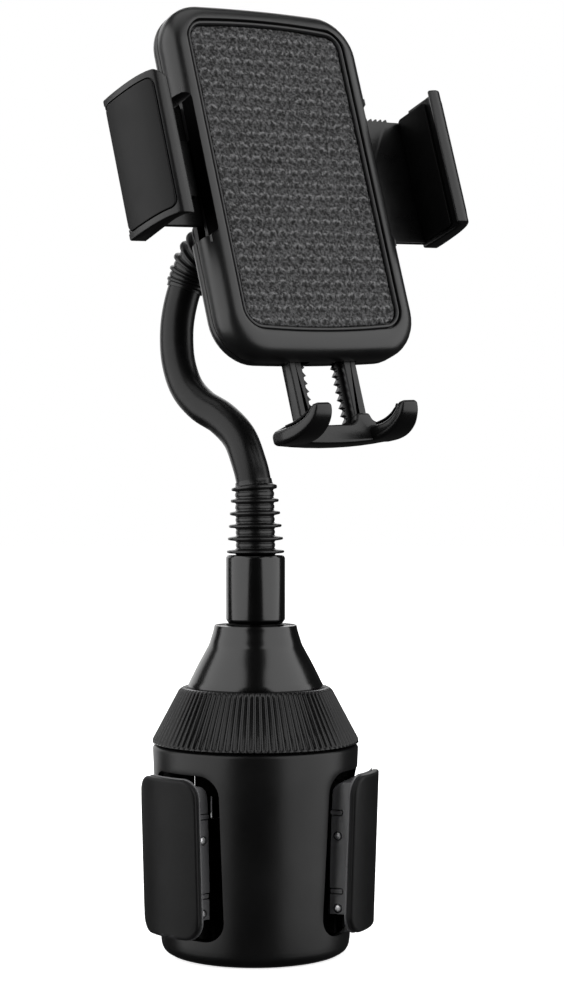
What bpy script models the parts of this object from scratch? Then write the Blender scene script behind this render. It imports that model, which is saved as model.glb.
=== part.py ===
"""A car phone mount: an expanding cup-holder base, a gooseneck and a phone cradle on a ball joint.

Run with: blender --background --python part.py. Sizes are in millimetres; meshes are written in metres.
The origin is the centre of the cup's flat bottom, +Z is up and -Y is the side that faces the user.
"""

from math import cos, pi, radians, sin, sqrt

import bmesh
import bpy
from mathutils import Matrix, Vector

MM = 0.001
GAP = 0.3  # clearance between neighbouring pieces

# Base cup
CUP_R_BOTTOM = 31.0
CUP_R_TOP = 33.2
CUP_H = 68.1
CUP_WALL = 2.1
CUP_FOOT_R = 26.8  # where the rounded bottom edge meets the cover
CUP_SIDES = 48
SCREW_RING_R = 23.5

# Wings: three pads that slide out of windows in the cup
WING_AZIMUTHS = (-47.0, 73.0, 193.0)  # degrees from -Y towards +X
WING_OUT = 6.6  # how far the wings stand out at rest
PAD_R = 33.4
PAD_HALF_ANGLE = radians(24.0)
PAD_Z = (9.5, 60.0)
PAD_THICK = 2.8
PAD_CORNER = 6.0
WING_LEAN = 0.035  # slope of the cup's side, followed by pad and bracket
WING_MID_Z = 37.0
WINDOW_HALF_W = 15.3
WINDOW_Z = (8.0, 62.0)
BRACKET_HALF_W = 9.0
BRACKET_Z = (15.0, 57.5)
BRACKET_IN = 28.0
PIN_R = 1.2
PIN_X = 30.5
PIN_HEIGHTS = {"upper": 40.2, "lower": 17.0}
CAM_PIN_X = 16.7
CAM_PIN_Z = 33.0
CAM_PIN_R = 1.25
WING_IN_TRAVEL = 6.6
WING_OUT_TRAVEL = 7.4

# Lead screw that drives the carriage
SCREW_LEAD = 8.0
SCREW_CORE_R = 5.4
SCREW_THREAD_R = 7.0
POST_R = 3.9

# Adjusting ring and neck cone
RING_Z = (68.6, 86.6)
RING_R = (33.4, 24.4)
CONE_OUTLINE = (
    (21.0, 86.9), (20.7, 88.8), (15.5, 98.7), (14.6, 100.6),
    (14.0, 102.6), (13.4, 104.8), (13.1, 106.6), (12.7, 107.0),
)
FERRULE_R = 9.46
FERRULE_Z = (107.3, 129.2)

# Gooseneck: points that its centreline passes through, from the ferrule to the ball
NECK_R = 5.6
NECK_ROUTE = (
    (0.0, 0.0, 104.0), (0.0, 0.0, 118.0), (0.0, 0.0, 132.0), (-0.2, 0.0, 144.0),
    (-0.6, 0.2, 153.6), (-2.4, 1.8, 161.0), (-5.6, 5.8, 169.0), (-11.4, 11.3, 175.3),
    (-18.3, 16.8, 179.9), (-23.6, 21.8, 186.2), (-26.6, 26.0, 195.0), (-27.4, 28.9, 204.5),
    (-26.6, 30.6, 213.0), (-24.3, 31.2, 221.7), (-20.6, 29.4, 229.2), (-14.2, 25.0, 235.0),
    (-7.2, 19.9, 239.4), (-0.5, 14.9, 243.4),
)
NECK_START_Z = 116.5
NECK_BENDS = (50.0, 69.0, 88.0, 107.0)  # arc lengths of the four bending points from the start
BEND_BALL_R = 5.2
BEND_REACH = 3.2  # half of the tube left out at each bend

# Cradle: its frame has x to the right, y to the back and z up; the pad's front face is y = 0
CRADLE_AT = (12.7, -5.0, 254.41)
CRADLE_YAW = 33.98
CRADLE_LEAN = -16.0
CRADLE_ROLL = -2.92
BALL_AT = (0.0, 26.0, -4.0)
BALL_R = 8.5
CASE_HALF_W = 37.9
CASE_Z = (-62.8, 60.0)
CASE_CORNER = 14.0
CASE_FRONT = -1.0
CASE_SEAM = 8.4
CASE_BACK = 13.5
CASE_WALL = 2.0
GRIP_HALF_W = 30.8
GRIP_Z = (-54.0, 53.6)
NOTCH_IN = 34.3
ARM_Z = 2.8  # height of the arms' centreline
NOTCH_HALF_H = 24.4
JAW_HALF_H = 23.9
PLATE_HALF_H = 22.7
PLATE_Y = (7.5, 9.3)
RACK_Y = (9.6, 11.1)
JAW_OUT = 61.4
JAW_IN = 55.6
JAW_BACK = 9.4
PITCH_R = 6.0
PINION_TEETH = 12
BACKLASH = 0.5
RAIL_X = (8.4, 13.3)
RAIL_Y = (6.0, 10.6)
RAIL_TOP = -42.0
FOOT_Z = (-90.6, -84.2)
BUTTON_AT = (0.0, 42.0)
BUTTON_HALF = (8.0, 4.5)


# ---------------------------------------------------------------- shapes: (points, faces) in millimetres

def loft(rings, closed=False):
    """Skin rings of equal length. The end rings are capped, or joined to each other when closed."""
    count = len(rings[0])
    points = [Vector(p) for ring in rings for p in ring]
    faces = []
    steps = len(rings) if closed else len(rings) - 1
    for i in range(steps):
        low = i * count
        high = ((i + 1) % len(rings)) * count
        for j in range(count):
            k = (j + 1) % count
            faces.append((low + j, low + k, high + k, high + j))
    if not closed:
        faces.append(tuple(range(count)))
        faces.append(tuple(range(len(points) - count, len(points))))
    return points, faces


def turned(profile, sides=24, axis="Z", closed=False):
    """Turn (radius, height) pairs about an axis. Points on the axis become single poles."""
    points = []
    rings = []
    for radius, height in profile:
        count = 1 if radius == 0 else sides
        rings.append(list(range(len(points), len(points) + count)))
        for i in range(count):
            angle = 2 * pi * i / sides
            x = radius * cos(angle)
            y = radius * sin(angle)
            points.append(Vector((x, y, height) if axis == "Z" else (x, height, -y)))
    faces = []
    pairs = list(zip(rings, rings[1:]))
    if closed:
        pairs.append((rings[-1], rings[0]))
    for low, high in pairs:
        for i in range(sides):
            k = (i + 1) % sides
            corners = (low[i % len(low)], low[k % len(low)], high[k % len(high)], high[i % len(high)])
            face = tuple(dict.fromkeys(corners))
            if len(face) > 2:
                faces.append(face)
    if not closed:
        for ring, turn in ((rings[0], -1), (rings[-1], 1)):
            if len(ring) > 1:
                faces.append(tuple(ring[::turn]))
    return points, faces


def prism(outline, axis, low, high):
    """Extrude a flat outline along X, Y or Z. The outline holds the other two coordinates in order."""
    place = {
        "X": lambda a, b, c: (c, a, b),
        "Y": lambda a, b, c: (a, c, b),
        "Z": lambda a, b, c: (a, b, c),
    }[axis]
    return loft([[place(a, b, c) for a, b in outline] for c in (low, high)])


def box(x, y, z):
    return prism(((x[0], y[0]), (x[1], y[0]), (x[1], y[1]), (x[0], y[1])), "Z", z[0], z[1])


def rounded(x, z, radius, steps=3):
    """Corner points of a rounded rectangle between x[0]..x[1] and z[0]..z[1]."""
    outline = []
    for cx, cz, start in (
        (x[1] - radius, z[0] + radius, -pi / 2), (x[1] - radius, z[1] - radius, 0.0),
        (x[0] + radius, z[1] - radius, pi / 2), (x[0] + radius, z[0] + radius, pi),
    ):
        for i in range(steps + 1):
            angle = start + pi / 2 * i / steps
            outline.append((cx + radius * cos(angle), cz + radius * sin(angle)))
    return outline


def rod(radius, start, end, sides=12):
    """A cylinder between two points."""
    start = Vector(start)
    end = Vector(end)
    return along([(start, end - start, radius), (end, end - start, radius)], sides)


def along(stations, sides=12):
    """Skin circles given as (centre, direction, radius), carried without twist."""
    rings = []
    side = Vector(stations[0][1]).normalized().orthogonal().normalized()
    for centre, direction, radius in stations:
        ahead = Vector(direction).normalized()
        side = (side - ahead * side.dot(ahead)).normalized()
        across = ahead.cross(side)
        turn = [2 * pi * i / sides for i in range(sides)]
        rings.append([Vector(centre) + (side * cos(a) + across * sin(a)) * radius for a in turn])
    return loft(rings)


def together(*shapes):
    """Several separate shapes as one mesh."""
    points = []
    faces = []
    for shape_points, shape_faces in shapes:
        start = len(points)
        points += shape_points
        faces += [tuple(start + i for i in face) for face in shape_faces]
    return points, faces


def moved(shape, matrix):
    return [matrix @ p for p in shape[0]], shape[1]


def sheared(shape, slope, middle):
    """Lean a shape outwards with height, as the cup's side does."""
    return [Vector((p.x + slope * (p.z - middle), p.y, p.z)) for p in shape[0]], shape[1]


# ---------------------------------------------------------------- objects

MATERIALS = {
    "cup_plastic": ((0.022, 0.022, 0.023), 0.48, 0.0),
    "pad_rubber": ((0.018, 0.018, 0.019), 0.55, 0.0),
    "ring_plastic": ((0.026, 0.026, 0.027), 0.6, 0.0),
    "satin_plastic": ((0.012, 0.012, 0.013), 0.28, 0.0),
    "neck_rubber": ((0.014, 0.014, 0.015), 0.42, 0.0),
    "case_plastic": ((0.016, 0.016, 0.017), 0.36, 0.0),
    "grip_rubber": ((0.05, 0.05, 0.052), 0.7, 0.0),
    "inner_plastic": ((0.03, 0.03, 0.032), 0.5, 0.0),
    "chrome_pin": ((0.75, 0.75, 0.76), 0.18, 1.0),
    "steel": ((0.5, 0.5, 0.52), 0.32, 1.0),
    "nylon": ((0.6, 0.6, 0.58), 0.45, 0.0),
}


def material(name):
    found = bpy.data.materials.get(name)
    if found:
        return found
    colour, roughness, metallic = MATERIALS[name]
    made = bpy.data.materials.new(name)
    made.use_nodes = True
    shader = made.node_tree.nodes["Principled BSDF"]
    shader.inputs["Base Color"].default_value = (*colour, 1.0)
    shader.inputs["Roughness"].default_value = roughness
    shader.inputs["Metallic"].default_value = metallic
    return made


def mesh_object(name, shape, origin=(0, 0, 0)):
    """An object whose mesh is the shape, in metres, with its origin at the given point."""
    origin = Vector(origin)
    bm = bmesh.new()
    verts = [bm.verts.new((p - origin) * MM) for p in shape[0]]
    for face in shape[1]:
        bm.faces.new([verts[i] for i in face])
    bmesh.ops.recalc_face_normals(bm, faces=bm.faces)
    mesh = bpy.data.meshes.new(name)
    bm.to_mesh(mesh)
    bm.free()
    obj = bpy.data.objects.new(name, mesh)
    obj.location = origin * MM
    bpy.context.scene.collection.objects.link(obj)
    return obj


def piece(name, shape, finish, frame=None, origin=(0, 0, 0), smooth=30):
    obj = mesh_object(name, shape, origin)
    own = material(finish).copy()
    own.name = f"{name}_{finish}"
    obj.data.materials.append(own)
    obj.parent = frame
    obj.data.shade_smooth()
    obj.data.set_sharp_from_angle(angle=radians(smooth))
    return obj


def shaped(obj, operation, shape):
    """Cut a shape from an object, or fuse it on, with a Boolean. The shape is in the object's frame."""
    tool = mesh_object(f"{obj.name}_{operation.lower()}_{len(obj.modifiers)}", shape)
    tool.location = Vector(tool.location) - Vector(obj.location)
    tool.parent = obj
    tool.hide_render = True
    tool.display_type = "WIRE"
    boolean = obj.modifiers.new(operation.title(), "BOOLEAN")
    boolean.operation = operation
    boolean.solver = "EXACT"
    boolean.object = tool
    return obj


def cut(obj, *shapes):
    return shaped(obj, "DIFFERENCE", together(*shapes))


def fuse(obj, *shapes):
    return shaped(obj, "UNION", together(*shapes))


def frame_at(name, location, rotation=None, parent=None):
    empty = bpy.data.objects.new(name, None)
    empty.matrix_basis = Matrix.Translation(Vector(location) * MM) @ (rotation or Matrix()).to_4x4()
    empty.parent = parent
    empty.empty_display_size = 0.01
    bpy.context.scene.collection.objects.link(empty)
    return empty


# ---------------------------------------------------------------- base

def screw_points():
    """Where the three base screws stand, midway between the wings."""
    found = []
    for azimuth in WING_AZIMUTHS:
        angle = radians(azimuth + 60.0)
        found.append((SCREW_RING_R * sin(angle), -SCREW_RING_R * cos(angle)))
    return found


def wing_turn(azimuth):
    """Turns +X to the wing's outward direction."""
    return Matrix.Rotation(radians(azimuth - 90.0), 4, "Z")


def make_cup():
    inner_top = CUP_R_TOP - CUP_WALL
    inner_low = CUP_R_BOTTOM - CUP_WALL
    profile = (
        (CUP_FOOT_R, 0.0), (28.4, 0.3), (29.9, 1.3), (30.7, 2.9), (CUP_R_BOTTOM, 5.0),
        (CUP_R_TOP, CUP_H - 0.6), (CUP_R_TOP - 0.5, CUP_H), (inner_top, CUP_H),
        (inner_low, 5.0), (20.0, 5.0), (20.0, 2.8), (CUP_FOOT_R, 2.8),
    )
    cup = piece("base_cup", turned(profile, CUP_SIDES, closed=True), "cup_plastic")
    window = prism(rounded((-WINDOW_HALF_W, WINDOW_HALF_W), WINDOW_Z, 6.5), "X", 22.0, 40.0)
    cut(cup, *[moved(window, wing_turn(a)) for a in WING_AZIMUTHS])
    cut(cup, *[rod(1.6, (x, y, 2.0), (x, y, 6.0)) for x, y in screw_points()])


def make_bottom():
    disc = turned(((0, 0.0), (CUP_FOOT_R - 0.4, 0.0), (CUP_FOOT_R - 0.4, 2.5), (0, 2.5)), 36)
    cover = piece("base_bottom_cover", disc, "cup_plastic")
    stepped = []
    for x, y in screw_points():
        stepped.append(along([((x, y, z), (0, 0, 1), r) for z, r in ((-1, 3), (1.5, 3), (1.51, 1.5), (3, 1.5))]))
    cut(cover, *stepped)
    for number, (x, y) in enumerate(screw_points(), 1):
        heights = ((0.15, 2.6), (1.2, 2.6), (1.21, 1.2), (9.0, 1.2))
        shape = along([((x, y, z), (0, 0, 1), r) for z, r in heights])
        piece(f"bottom_screw_{number}", shape, "steel", origin=(x, y, 0.15))


def make_chassis():
    """Disc with a hub for the post and three pairs of ribs that guide the wing sliders."""
    plate = turned(((0, 5.3), (26.6, 5.3), (26.6, 7.4), (8.4, 7.4), (8.4, 11.0), (0, 11.0)), 30)
    chassis = piece("guide_chassis", plate, "inner_plastic")
    ribs = [box((14.0, 25.0), sorted((s * 6.7, s * 8.2)), (7.0, 14.2)) for s in (-1, 1)]
    fuse(chassis, *[moved(rib, wing_turn(a)) for rib in ribs for a in WING_AZIMUTHS])
    holes = [rod(1.5, (x, y, 4.0), (x, y, 9.0)) for x, y in screw_points()]
    cut(chassis, rod(POST_R + GAP, (0, 0, 7.5), (0, 0, 12.0), 16), *holes)
    piece("centre_post", rod(POST_R, (0, 0, 7.8), (0, 0, 98.6), 16), "steel")


def thread_ridge():
    """A square ridge that climbs one lead per turn round the screw."""
    steps = 12
    turns = 4.75
    half = 1.8
    rings = []
    for i in range(int(turns * steps) + 1):
        angle = 2 * pi * i / steps
        z = 18.0 + SCREW_LEAD * i / steps
        ring = []
        for radius, rise in ((5.0, -half), (SCREW_THREAD_R, -half), (SCREW_THREAD_R, half), (5.0, half)):
            ring.append((radius * cos(angle), radius * sin(angle), z + rise))
        rings.append(ring)
    return loft(rings)


def make_drive():
    flange_z = (65.6, 68.2)
    tube = (
        (POST_R + GAP, 12.0), (SCREW_CORE_R, 12.0), (SCREW_CORE_R, flange_z[0]),
        (14.0, flange_z[0]), (14.0, flange_z[1]), (POST_R + GAP, flange_z[1]),
    )
    screw = piece("lead_screw", turned(tube, 16, closed=True), "inner_plastic")
    fuse(screw, thread_ridge())
    ring_wall = (
        (8.5, RING_Z[0]), (RING_R[0] - 0.3, RING_Z[0]), (RING_R[0], RING_Z[0] + 0.6),
        (RING_R[1], RING_Z[1] - 0.3), (RING_R[1] - 0.4, RING_Z[1]), (22.0, RING_Z[1]),
        (29.6, 71.4), (8.5, 71.4),
    )
    piece("adjust_ring", turned(ring_wall, 48, closed=True), "ring_plastic")


def make_carriage():
    """Nut with two followers in the screw's groove and three slotted fins that push the wings."""
    hub_z = (CAM_PIN_Z + 2.0, CAM_PIN_Z + 12.0)
    hub = turned(((7.4, hub_z[0]), (9.8, hub_z[0]), (9.8, hub_z[1]), (7.4, hub_z[1])), 24, closed=True)
    carriage = piece("carriage", hub, "inner_plastic")
    reach = 3.0 * sqrt(2)  # half height of the band around the sloping slot
    low = 7.5 - CAM_PIN_X - reach
    fin = prism(
        ((7.5, CAM_PIN_Z + low), (26.6, CAM_PIN_Z + 26.6 - CAM_PIN_X - reach), (26.6, hub_z[1]), (7.5, hub_z[1])),
        "Y", -1.5, 1.5,
    )
    fuse(carriage, *[moved(fin, wing_turn(a)) for a in WING_AZIMUTHS])
    peg_z = groove_height(0.0, 40.0)
    pegs = [box((6.0, 8.6), (-1.0, 1.0), (peg_z - 1.5, peg_z + 1.5))]
    peg_z = groove_height(pi, 40.0)
    pegs.append(box((-8.6, -6.0), (-1.0, 1.0), (peg_z - 1.5, peg_z + 1.5)))
    fuse(carriage, *pegs)
    cut(carriage, *[moved(cam_slot(), wing_turn(a)) for a in WING_AZIMUTHS])


def groove_height(angle, near):
    """Height of the screw's groove at an angle, closest to a given height."""
    middle = 18.0 + SCREW_LEAD * (angle / (2 * pi) + 0.5)
    return middle + SCREW_LEAD * round((near - middle) / SCREW_LEAD)


def cam_slot():
    """The 45 degree slot in a fin, for the cam pin's travel in and out."""
    half = CAM_PIN_R + 0.35
    outline = []
    for travel, start in ((-WING_IN_TRAVEL, radians(135)), (WING_OUT_TRAVEL, radians(-45))):
        for i in range(5):
            angle = start + pi * i / 4
            x = CAM_PIN_X + travel + half * cos(angle)
            z = CAM_PIN_Z + travel + half * sin(angle)
            outline.append((x, z))
    return prism(outline, "Y", -3.0, 3.0)


# ---------------------------------------------------------------- wings

def pad_shape():
    """Curved plate with rounded corners and a small bevel round its face, built in columns."""
    bevel = 0.7
    columns = []
    steps = 16
    for i in range(steps + 1):
        share = -cos(pi * i / steps)  # closer together near the ends, where the corners are
        angle = PAD_HALF_ANGLE * share
        edge = PAD_R * (PAD_HALF_ANGLE - abs(angle))
        drop = 0.0
        if edge < PAD_CORNER:
            drop = PAD_CORNER - sqrt(max(0.0, PAD_CORNER**2 - (PAD_CORNER - edge) ** 2))
        low = PAD_Z[0] + drop
        high = PAD_Z[1] - drop
        dip = bevel if abs(share) > 0.999 else 0.0
        column = []
        for radius, z in (
            (PAD_R - PAD_THICK, low), (PAD_R - bevel, low), (PAD_R - dip, low + bevel),
            (PAD_R - dip, high - bevel), (PAD_R - bevel, high), (PAD_R - PAD_THICK, high),
        ):
            column.append((WING_OUT + radius * cos(angle), radius * sin(angle), z))
        columns.append(column)
    return sheared(loft(columns), WING_LEAN, WING_MID_Z)


def bracket_back(radius):
    """Plan outline of everything outside the bracket's curved outer face."""
    half = BRACKET_HALF_W + 2.0
    arc = []
    for i in range(9):
        y = half - 2 * half * i / 8
        arc.append((WING_OUT + sqrt(radius**2 - y**2), y))
    return prism(arc + [(45.0, -half), (45.0, half)], "Z", 5.0, 65.0)


def bracket_outline():
    """Side view of a bracket: square at the pad, rounded at the inner top corner."""
    radius = 4.0
    corner = []
    for i in range(5):
        angle = pi / 2 + pi / 2 * i / 4
        corner.append((BRACKET_IN + radius + radius * cos(angle), BRACKET_Z[1] - radius + radius * sin(angle)))
    return [(BRACKET_IN, BRACKET_Z[0]), (39.0, BRACKET_Z[0]), (39.0, BRACKET_Z[1])] + corner


def make_bracket(number, frame):
    half = BRACKET_HALF_W
    solid = sheared(prism(bracket_outline(), "Y", -half, half), WING_LEAN, WING_MID_Z)
    bracket = piece(f"wing_bracket_{number}", solid, "cup_plastic", frame)
    cut(bracket, sheared(bracket_back(PAD_R - PAD_THICK - GAP), WING_LEAN, WING_MID_Z))
    channel = box((20.0, 34.2), (-6.7, 6.7), (10.0, 55.0))
    cut(bracket, sheared(channel, WING_LEAN, WING_MID_Z))
    pins = [rod(PIN_R + GAP, (PIN_X, -12, z), (PIN_X, 12, z), 10) for z in PIN_HEIGHTS.values()]
    slots = [box((20.0, 32.4), (-12, 12), (z - 1.05, z + 1.05)) for z in (47.7, 22.5)]
    cut(bracket, *pins, *slots)


def make_slider(number, frame):
    """Two cheeks joined at their lower end; a cross pin between them runs in the carriage's slot."""
    side = (
        (15.0, 8.4), (28.6, 8.4), (28.6, 15.4), (33.0, 15.4), (33.0, 44.0),
        (24.0, 44.0), (14.2, 35.5), (14.2, 30.0), (15.0, 26.0),
    )
    slider = piece(f"wing_slider_{number}", prism(side, "Y", -6.4, 6.4), "inner_plastic", frame)
    lower = box((0.0, 31.0), (-3.9, 3.9), (0.0, 22.0))
    upper = box((0.0, 40.0), (-3.9, 3.9), (22.0, 60.0))
    cut(slider, lower)
    cut(slider, upper)
    holes = [rod(PIN_R + GAP, (PIN_X, -12, z), (PIN_X, 12, z), 10) for z in PIN_HEIGHTS.values()]
    cut(slider, *holes)
    fuse(slider, rod(CAM_PIN_R, (CAM_PIN_X, -5.0, CAM_PIN_Z), (CAM_PIN_X, 5.0, CAM_PIN_Z), 10))


def make_wings():
    for number, azimuth in enumerate(WING_AZIMUTHS, 1):
        frame = frame_at(f"wing_frame_{number}", (0, 0, 0), wing_turn(azimuth))
        piece(f"wing_pad_{number}", pad_shape(), "pad_rubber", frame)
        make_bracket(number, frame)
        make_slider(number, frame)
        for label, z in PIN_HEIGHTS.items():
            shape = rod(PIN_R, (PIN_X, -8.9, z), (PIN_X, 8.9, z), 10)
            piece(f"wing_pin_{label}_{number}", shape, "chrome_pin", frame, origin=(PIN_X, 0, z))


# ---------------------------------------------------------------- neck

def make_cone():
    profile = [(0, 99.0), (4.2, 99.0), (4.2, 84.0), (7.0, 84.0), (7.0, 92.5), (12.6, 95.5), (18.2, 85.5)]
    profile += [(18.2, 80.0), (20.4, 80.0), (20.4, 86.7)]
    profile += list(CONE_OUTLINE)
    profile += [(6.6, 107.0), (6.6, 101.0), (0, 101.0)]
    piece("neck_cone", turned(profile, 32), "satin_plastic")
    low, high = FERRULE_Z
    ferrule = (
        (0, 101.3), (6.3, 101.3), (6.3, low), (FERRULE_R - 0.9, low), (FERRULE_R, low + 1.4),
        (FERRULE_R, high - 1.4), (FERRULE_R - 1.0, high), (6.0, high), (6.0, 116.2), (0, 116.2),
    )
    piece("lower_ferrule", turned(ferrule, 24), "satin_plastic")


def smooth_route(route, steps=12):
    """Points along a smooth curve through the route's points (Catmull-Rom)."""
    route = [Vector(p) for p in route]
    padded = [route[0] * 2 - route[1], *route, route[-1] * 2 - route[-2]]
    found = []
    for a, b, c, d in zip(padded, padded[1:], padded[2:], padded[3:]):
        for i in range(steps):
            t = i / steps
            bend = b * 2 + (c - a) * t + (a * 2 - b * 5 + c * 4 - d) * t**2 + (b * 3 - a - c * 3 + d) * t**3
            found.append(bend * 0.5)
    return found + [route[-1]]


class Route:
    """A curve read by its arc length, counted from where it passes a given height."""

    def __init__(self, route, start_z):
        self.points = smooth_route(route)
        lengths = [0.0]
        for a, b in zip(self.points, self.points[1:]):
            lengths.append(lengths[-1] + (b - a).length)
        first = next(i for i, p in enumerate(self.points) if p.z >= start_z)
        self.lengths = [length - lengths[first] for length in lengths]

    def at(self, length):
        i = next(i for i, value in enumerate(self.lengths) if value >= length)
        i = max(i, 1)
        span = self.lengths[i] - self.lengths[i - 1]
        share = (length - self.lengths[i - 1]) / span
        return self.points[i - 1].lerp(self.points[i], share)

    def ahead(self, length):
        return (self.at(length + 0.5) - self.at(length - 0.5)).normalized()

    def nearest(self, point):
        distances = [(p - Vector(point)).length for p in self.points]
        return self.lengths[distances.index(min(distances))]


def tube_stations(route, low, high, radius, step=3.6):
    count = max(2, round((high - low) / step))
    found = []
    for i in range(count + 1):
        length = low + (high - low) * i / count
        found.append((route.at(length), route.ahead(length), radius))
    return found


def socket_end(route, bend):
    """The hollow end of a link, around the ball of the link below: from its rim to its bottom."""
    point = route.at(bend)
    ahead = route.ahead(bend)
    inside = BEND_BALL_R + 0.5
    found = []
    for angle in (85, 60, 35, 12):
        reach = inside * cos(radians(angle))
        found.append((point + ahead * reach, ahead, inside * sin(radians(angle))))
    return found


def ball_end(route, bend):
    """The rounded end of a link, centred on the bending point."""
    point = route.at(bend)
    ahead = route.ahead(bend)
    found = []
    for angle in (125, 90, 60, 35, 12):
        reach = BEND_BALL_R * cos(radians(angle))
        found.append((point + ahead * reach, ahead, BEND_BALL_R * sin(radians(angle))))
    return found


def make_links(route, last):
    """The gooseneck as five links that bend at four points."""
    starts = [0.0, *NECK_BENDS]
    ends = [*NECK_BENDS, last]
    for number, (low, high) in enumerate(zip(starts, ends), 1):
        stations = []
        if low:
            stations += list(reversed(socket_end(route, low)))
            stations.append((route.at(low) + route.ahead(low) * 0.9, route.ahead(low), NECK_R + 0.25))
            low += BEND_REACH
        top = high if high == last else high - BEND_REACH - 0.6
        stations += tube_stations(route, low, top, NECK_R)
        if high != last:
            stations += ball_end(route, high)
        origin = route.at(starts[number - 1]) if number > 1 else (0, 0, 0)
        piece(f"gooseneck_{number}", along(stations, 12), "neck_rubber", origin=origin)


def boot(route, low, high, ribs):
    """A sleeve with disc ribs along the route; ribs holds (arc length, radius)."""
    outer = []
    for length, radius in ribs:
        outer += [(length - 1.1, 6.4), (length - 0.5, radius), (length + 0.5, radius), (length + 1.1, 6.4)]
    outer = [pair for pair in outer if low <= pair[0] <= high]
    outer = [(low, 6.6)] + outer + [(high, 6.6)]
    stations = [(route.at(s), route.ahead(s), r) for s, r in outer]
    lengths = [low + (high - low) * i / 5 for i in (5, 4, 3, 2, 1, 0)]
    bore = [(route.at(s), route.ahead(s), 6.05) for s in lengths]
    sides = 16
    points, faces = along(stations + bore, sides)
    faces = faces[:-2]  # the end caps give way to a wall between the bore and the outside
    last = len(points) - sides
    for i in range(sides):
        k = (i + 1) % sides
        faces.append((last + i, last + k, k, i))
    return points, faces


def make_neck(stud_end):
    route = Route(NECK_ROUTE, NECK_START_Z)
    boot_high = route.nearest(stud_end)
    make_links(route, boot_high - 5.0)
    low = FERRULE_Z[1] + GAP - NECK_START_Z
    ribs = [(low + 1.4 + 4.15 * i, 9.2 - 0.4 * i) for i in range(6)]
    piece("lower_boot", boot(route, low, 153.9 - NECK_START_Z, ribs), "neck_rubber")
    start = boot_high - 20.0
    ribs = [(start + 2.0 + 3.4 * i, 6.9 + 0.5 * i) for i in range(6)]
    last_bend = route.at(NECK_BENDS[-1])
    piece("upper_boot", boot(route, start, boot_high - 0.9, ribs), "neck_rubber", origin=last_bend)


# ---------------------------------------------------------------- ball joint

def arc_profile(radius, angles):
    """Points of a circle about the ball's centre; angles in degrees from the backward axis."""
    return [(radius * sin(radians(a)) if a < 180 else 0, radius * cos(radians(a))) for a in angles]


def make_ball_stud(frame, direction):
    """Ball, slim neck, ferrule and spigot on one axis, from the ball's centre towards the boot."""
    profile = [(0, -BALL_R)]
    profile += [(BALL_R * sin(radians(a)), BALL_R * cos(radians(a))) for a in (160, 140, 120, 100, 80, 60, 40)]
    profile += [(3.6, 7.7), (3.6, 14.6), (6.6, 15.4), (7.6, 16.0), (7.6, 19.0), (5.2, 19.0), (5.2, 22.0), (0, 22.0)]
    turn = Vector((0, 0, 1)).rotation_difference(direction).to_matrix().to_4x4()
    piece("ball_stud", moved(turned(profile, 20), turn), "inner_plastic", frame)


def make_ball_joint(frame, direction):
    make_ball_stud(frame, direction)
    down = list(range(62, 141, 13))
    for name, inner, outer, finish in (
        ("ball_liner", 8.8, 9.8, "nylon"), ("socket_seat", 10.1, 11.1, "inner_plastic"),
    ):
        profile = arc_profile(inner, down) + arc_profile(outer, reversed(down))
        piece(name, turned(profile, 16, "Y", closed=True), finish, frame)
    bowl = arc_profile(11.45, (75, 90, 105, 120, 135, 150, 165, 180))
    socket = [(0, -12.2), (17.0, -12.2), (17.0, -10.4), (13.6, -10.4), (13.6, 2.95)] + bowl
    piece("ball_socket", turned(socket, 24, "Y"), "case_plastic", frame)
    nut = (
        (13.95, -8.2), (16.9, -8.2), (17.3, -7.4), (17.3, 4.6), (15.4, 7.0),
        (10.5, 7.0), (10.0, 5.8), (10.8, 3.9), (13.95, 3.4),
    )
    piece("lock_nut", turned(nut, 30, "Y", closed=True), "case_plastic", frame)


# ---------------------------------------------------------------- cradle case

def case_outline(half_w, low, high, corner, arch):
    """Rounded rectangle whose top and bottom edges swell by arch at their middle."""
    outline = []
    for x, z in rounded((-half_w, half_w), (low, high), corner, 5):
        share = 1 - min(1.0, abs(x) / half_w) ** 2
        outline.append((x, z + (arch * share if z > 0 else -arch * share)))
    middle = []
    for a, b in zip(outline, outline[1:] + outline[:1]):
        middle.append(a)
        if abs(a[1] - b[1]) < 0.5 and abs(a[0] - b[0]) > half_w:
            for share in (0.25, 0.5, 0.75):
                x = a[0] + share * (b[0] - a[0])
                swell = arch * (1 - (x / half_w) ** 2)
                middle.append((x, high + swell if a[1] > 0 else low - swell))
    return middle


def case_ring(inset, y):
    outline = case_outline(
        CASE_HALF_W - inset, CASE_Z[0] + 1.2 + inset, CASE_Z[1] - 1.2 - inset,
        max(2.0, CASE_CORNER - inset * 0.8), 1.2,
    )
    return [(x, y, z) for x, z in outline]


def grip_ring(grow, y):
    outline = case_outline(
        GRIP_HALF_W + grow, GRIP_Z[0] + 1.6 - grow, GRIP_Z[1] - 1.6 + grow, 6.0 + grow, 1.6,
    )
    return [(x, y, z) for x, z in outline]


def notch_walls(low, high):
    """Inner walls behind the two side notches."""
    z = (ARM_Z - NOTCH_HALF_H - 2.2, ARM_Z + NOTCH_HALF_H + 2.2)
    return [box(sorted((s * (NOTCH_IN - 2.2), s * (CASE_HALF_W - 1.0))), (low, high), z) for s in (-1, 1)]


def notch_cutters():
    found = []
    z = (ARM_Z - NOTCH_HALF_H, ARM_Z + NOTCH_HALF_H)
    for side in (-1, 1):
        outline = rounded(sorted((side * NOTCH_IN, side * 46.0)), z, 2.4, 2)
        found.append(prism(outline, "Y", -6.0, 20.0))
    return found


def plate_slots():
    """Openings in the notch walls that the arms' plates slide through."""
    z = (ARM_Z - PLATE_HALF_H - 0.5, ARM_Z + PLATE_HALF_H + 0.4)
    return [box(sorted((s * 31.0, s * 36.0)), (PLATE_Y[0] - GAP, 11.4), z) for s in (-1, 1)]


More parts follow.
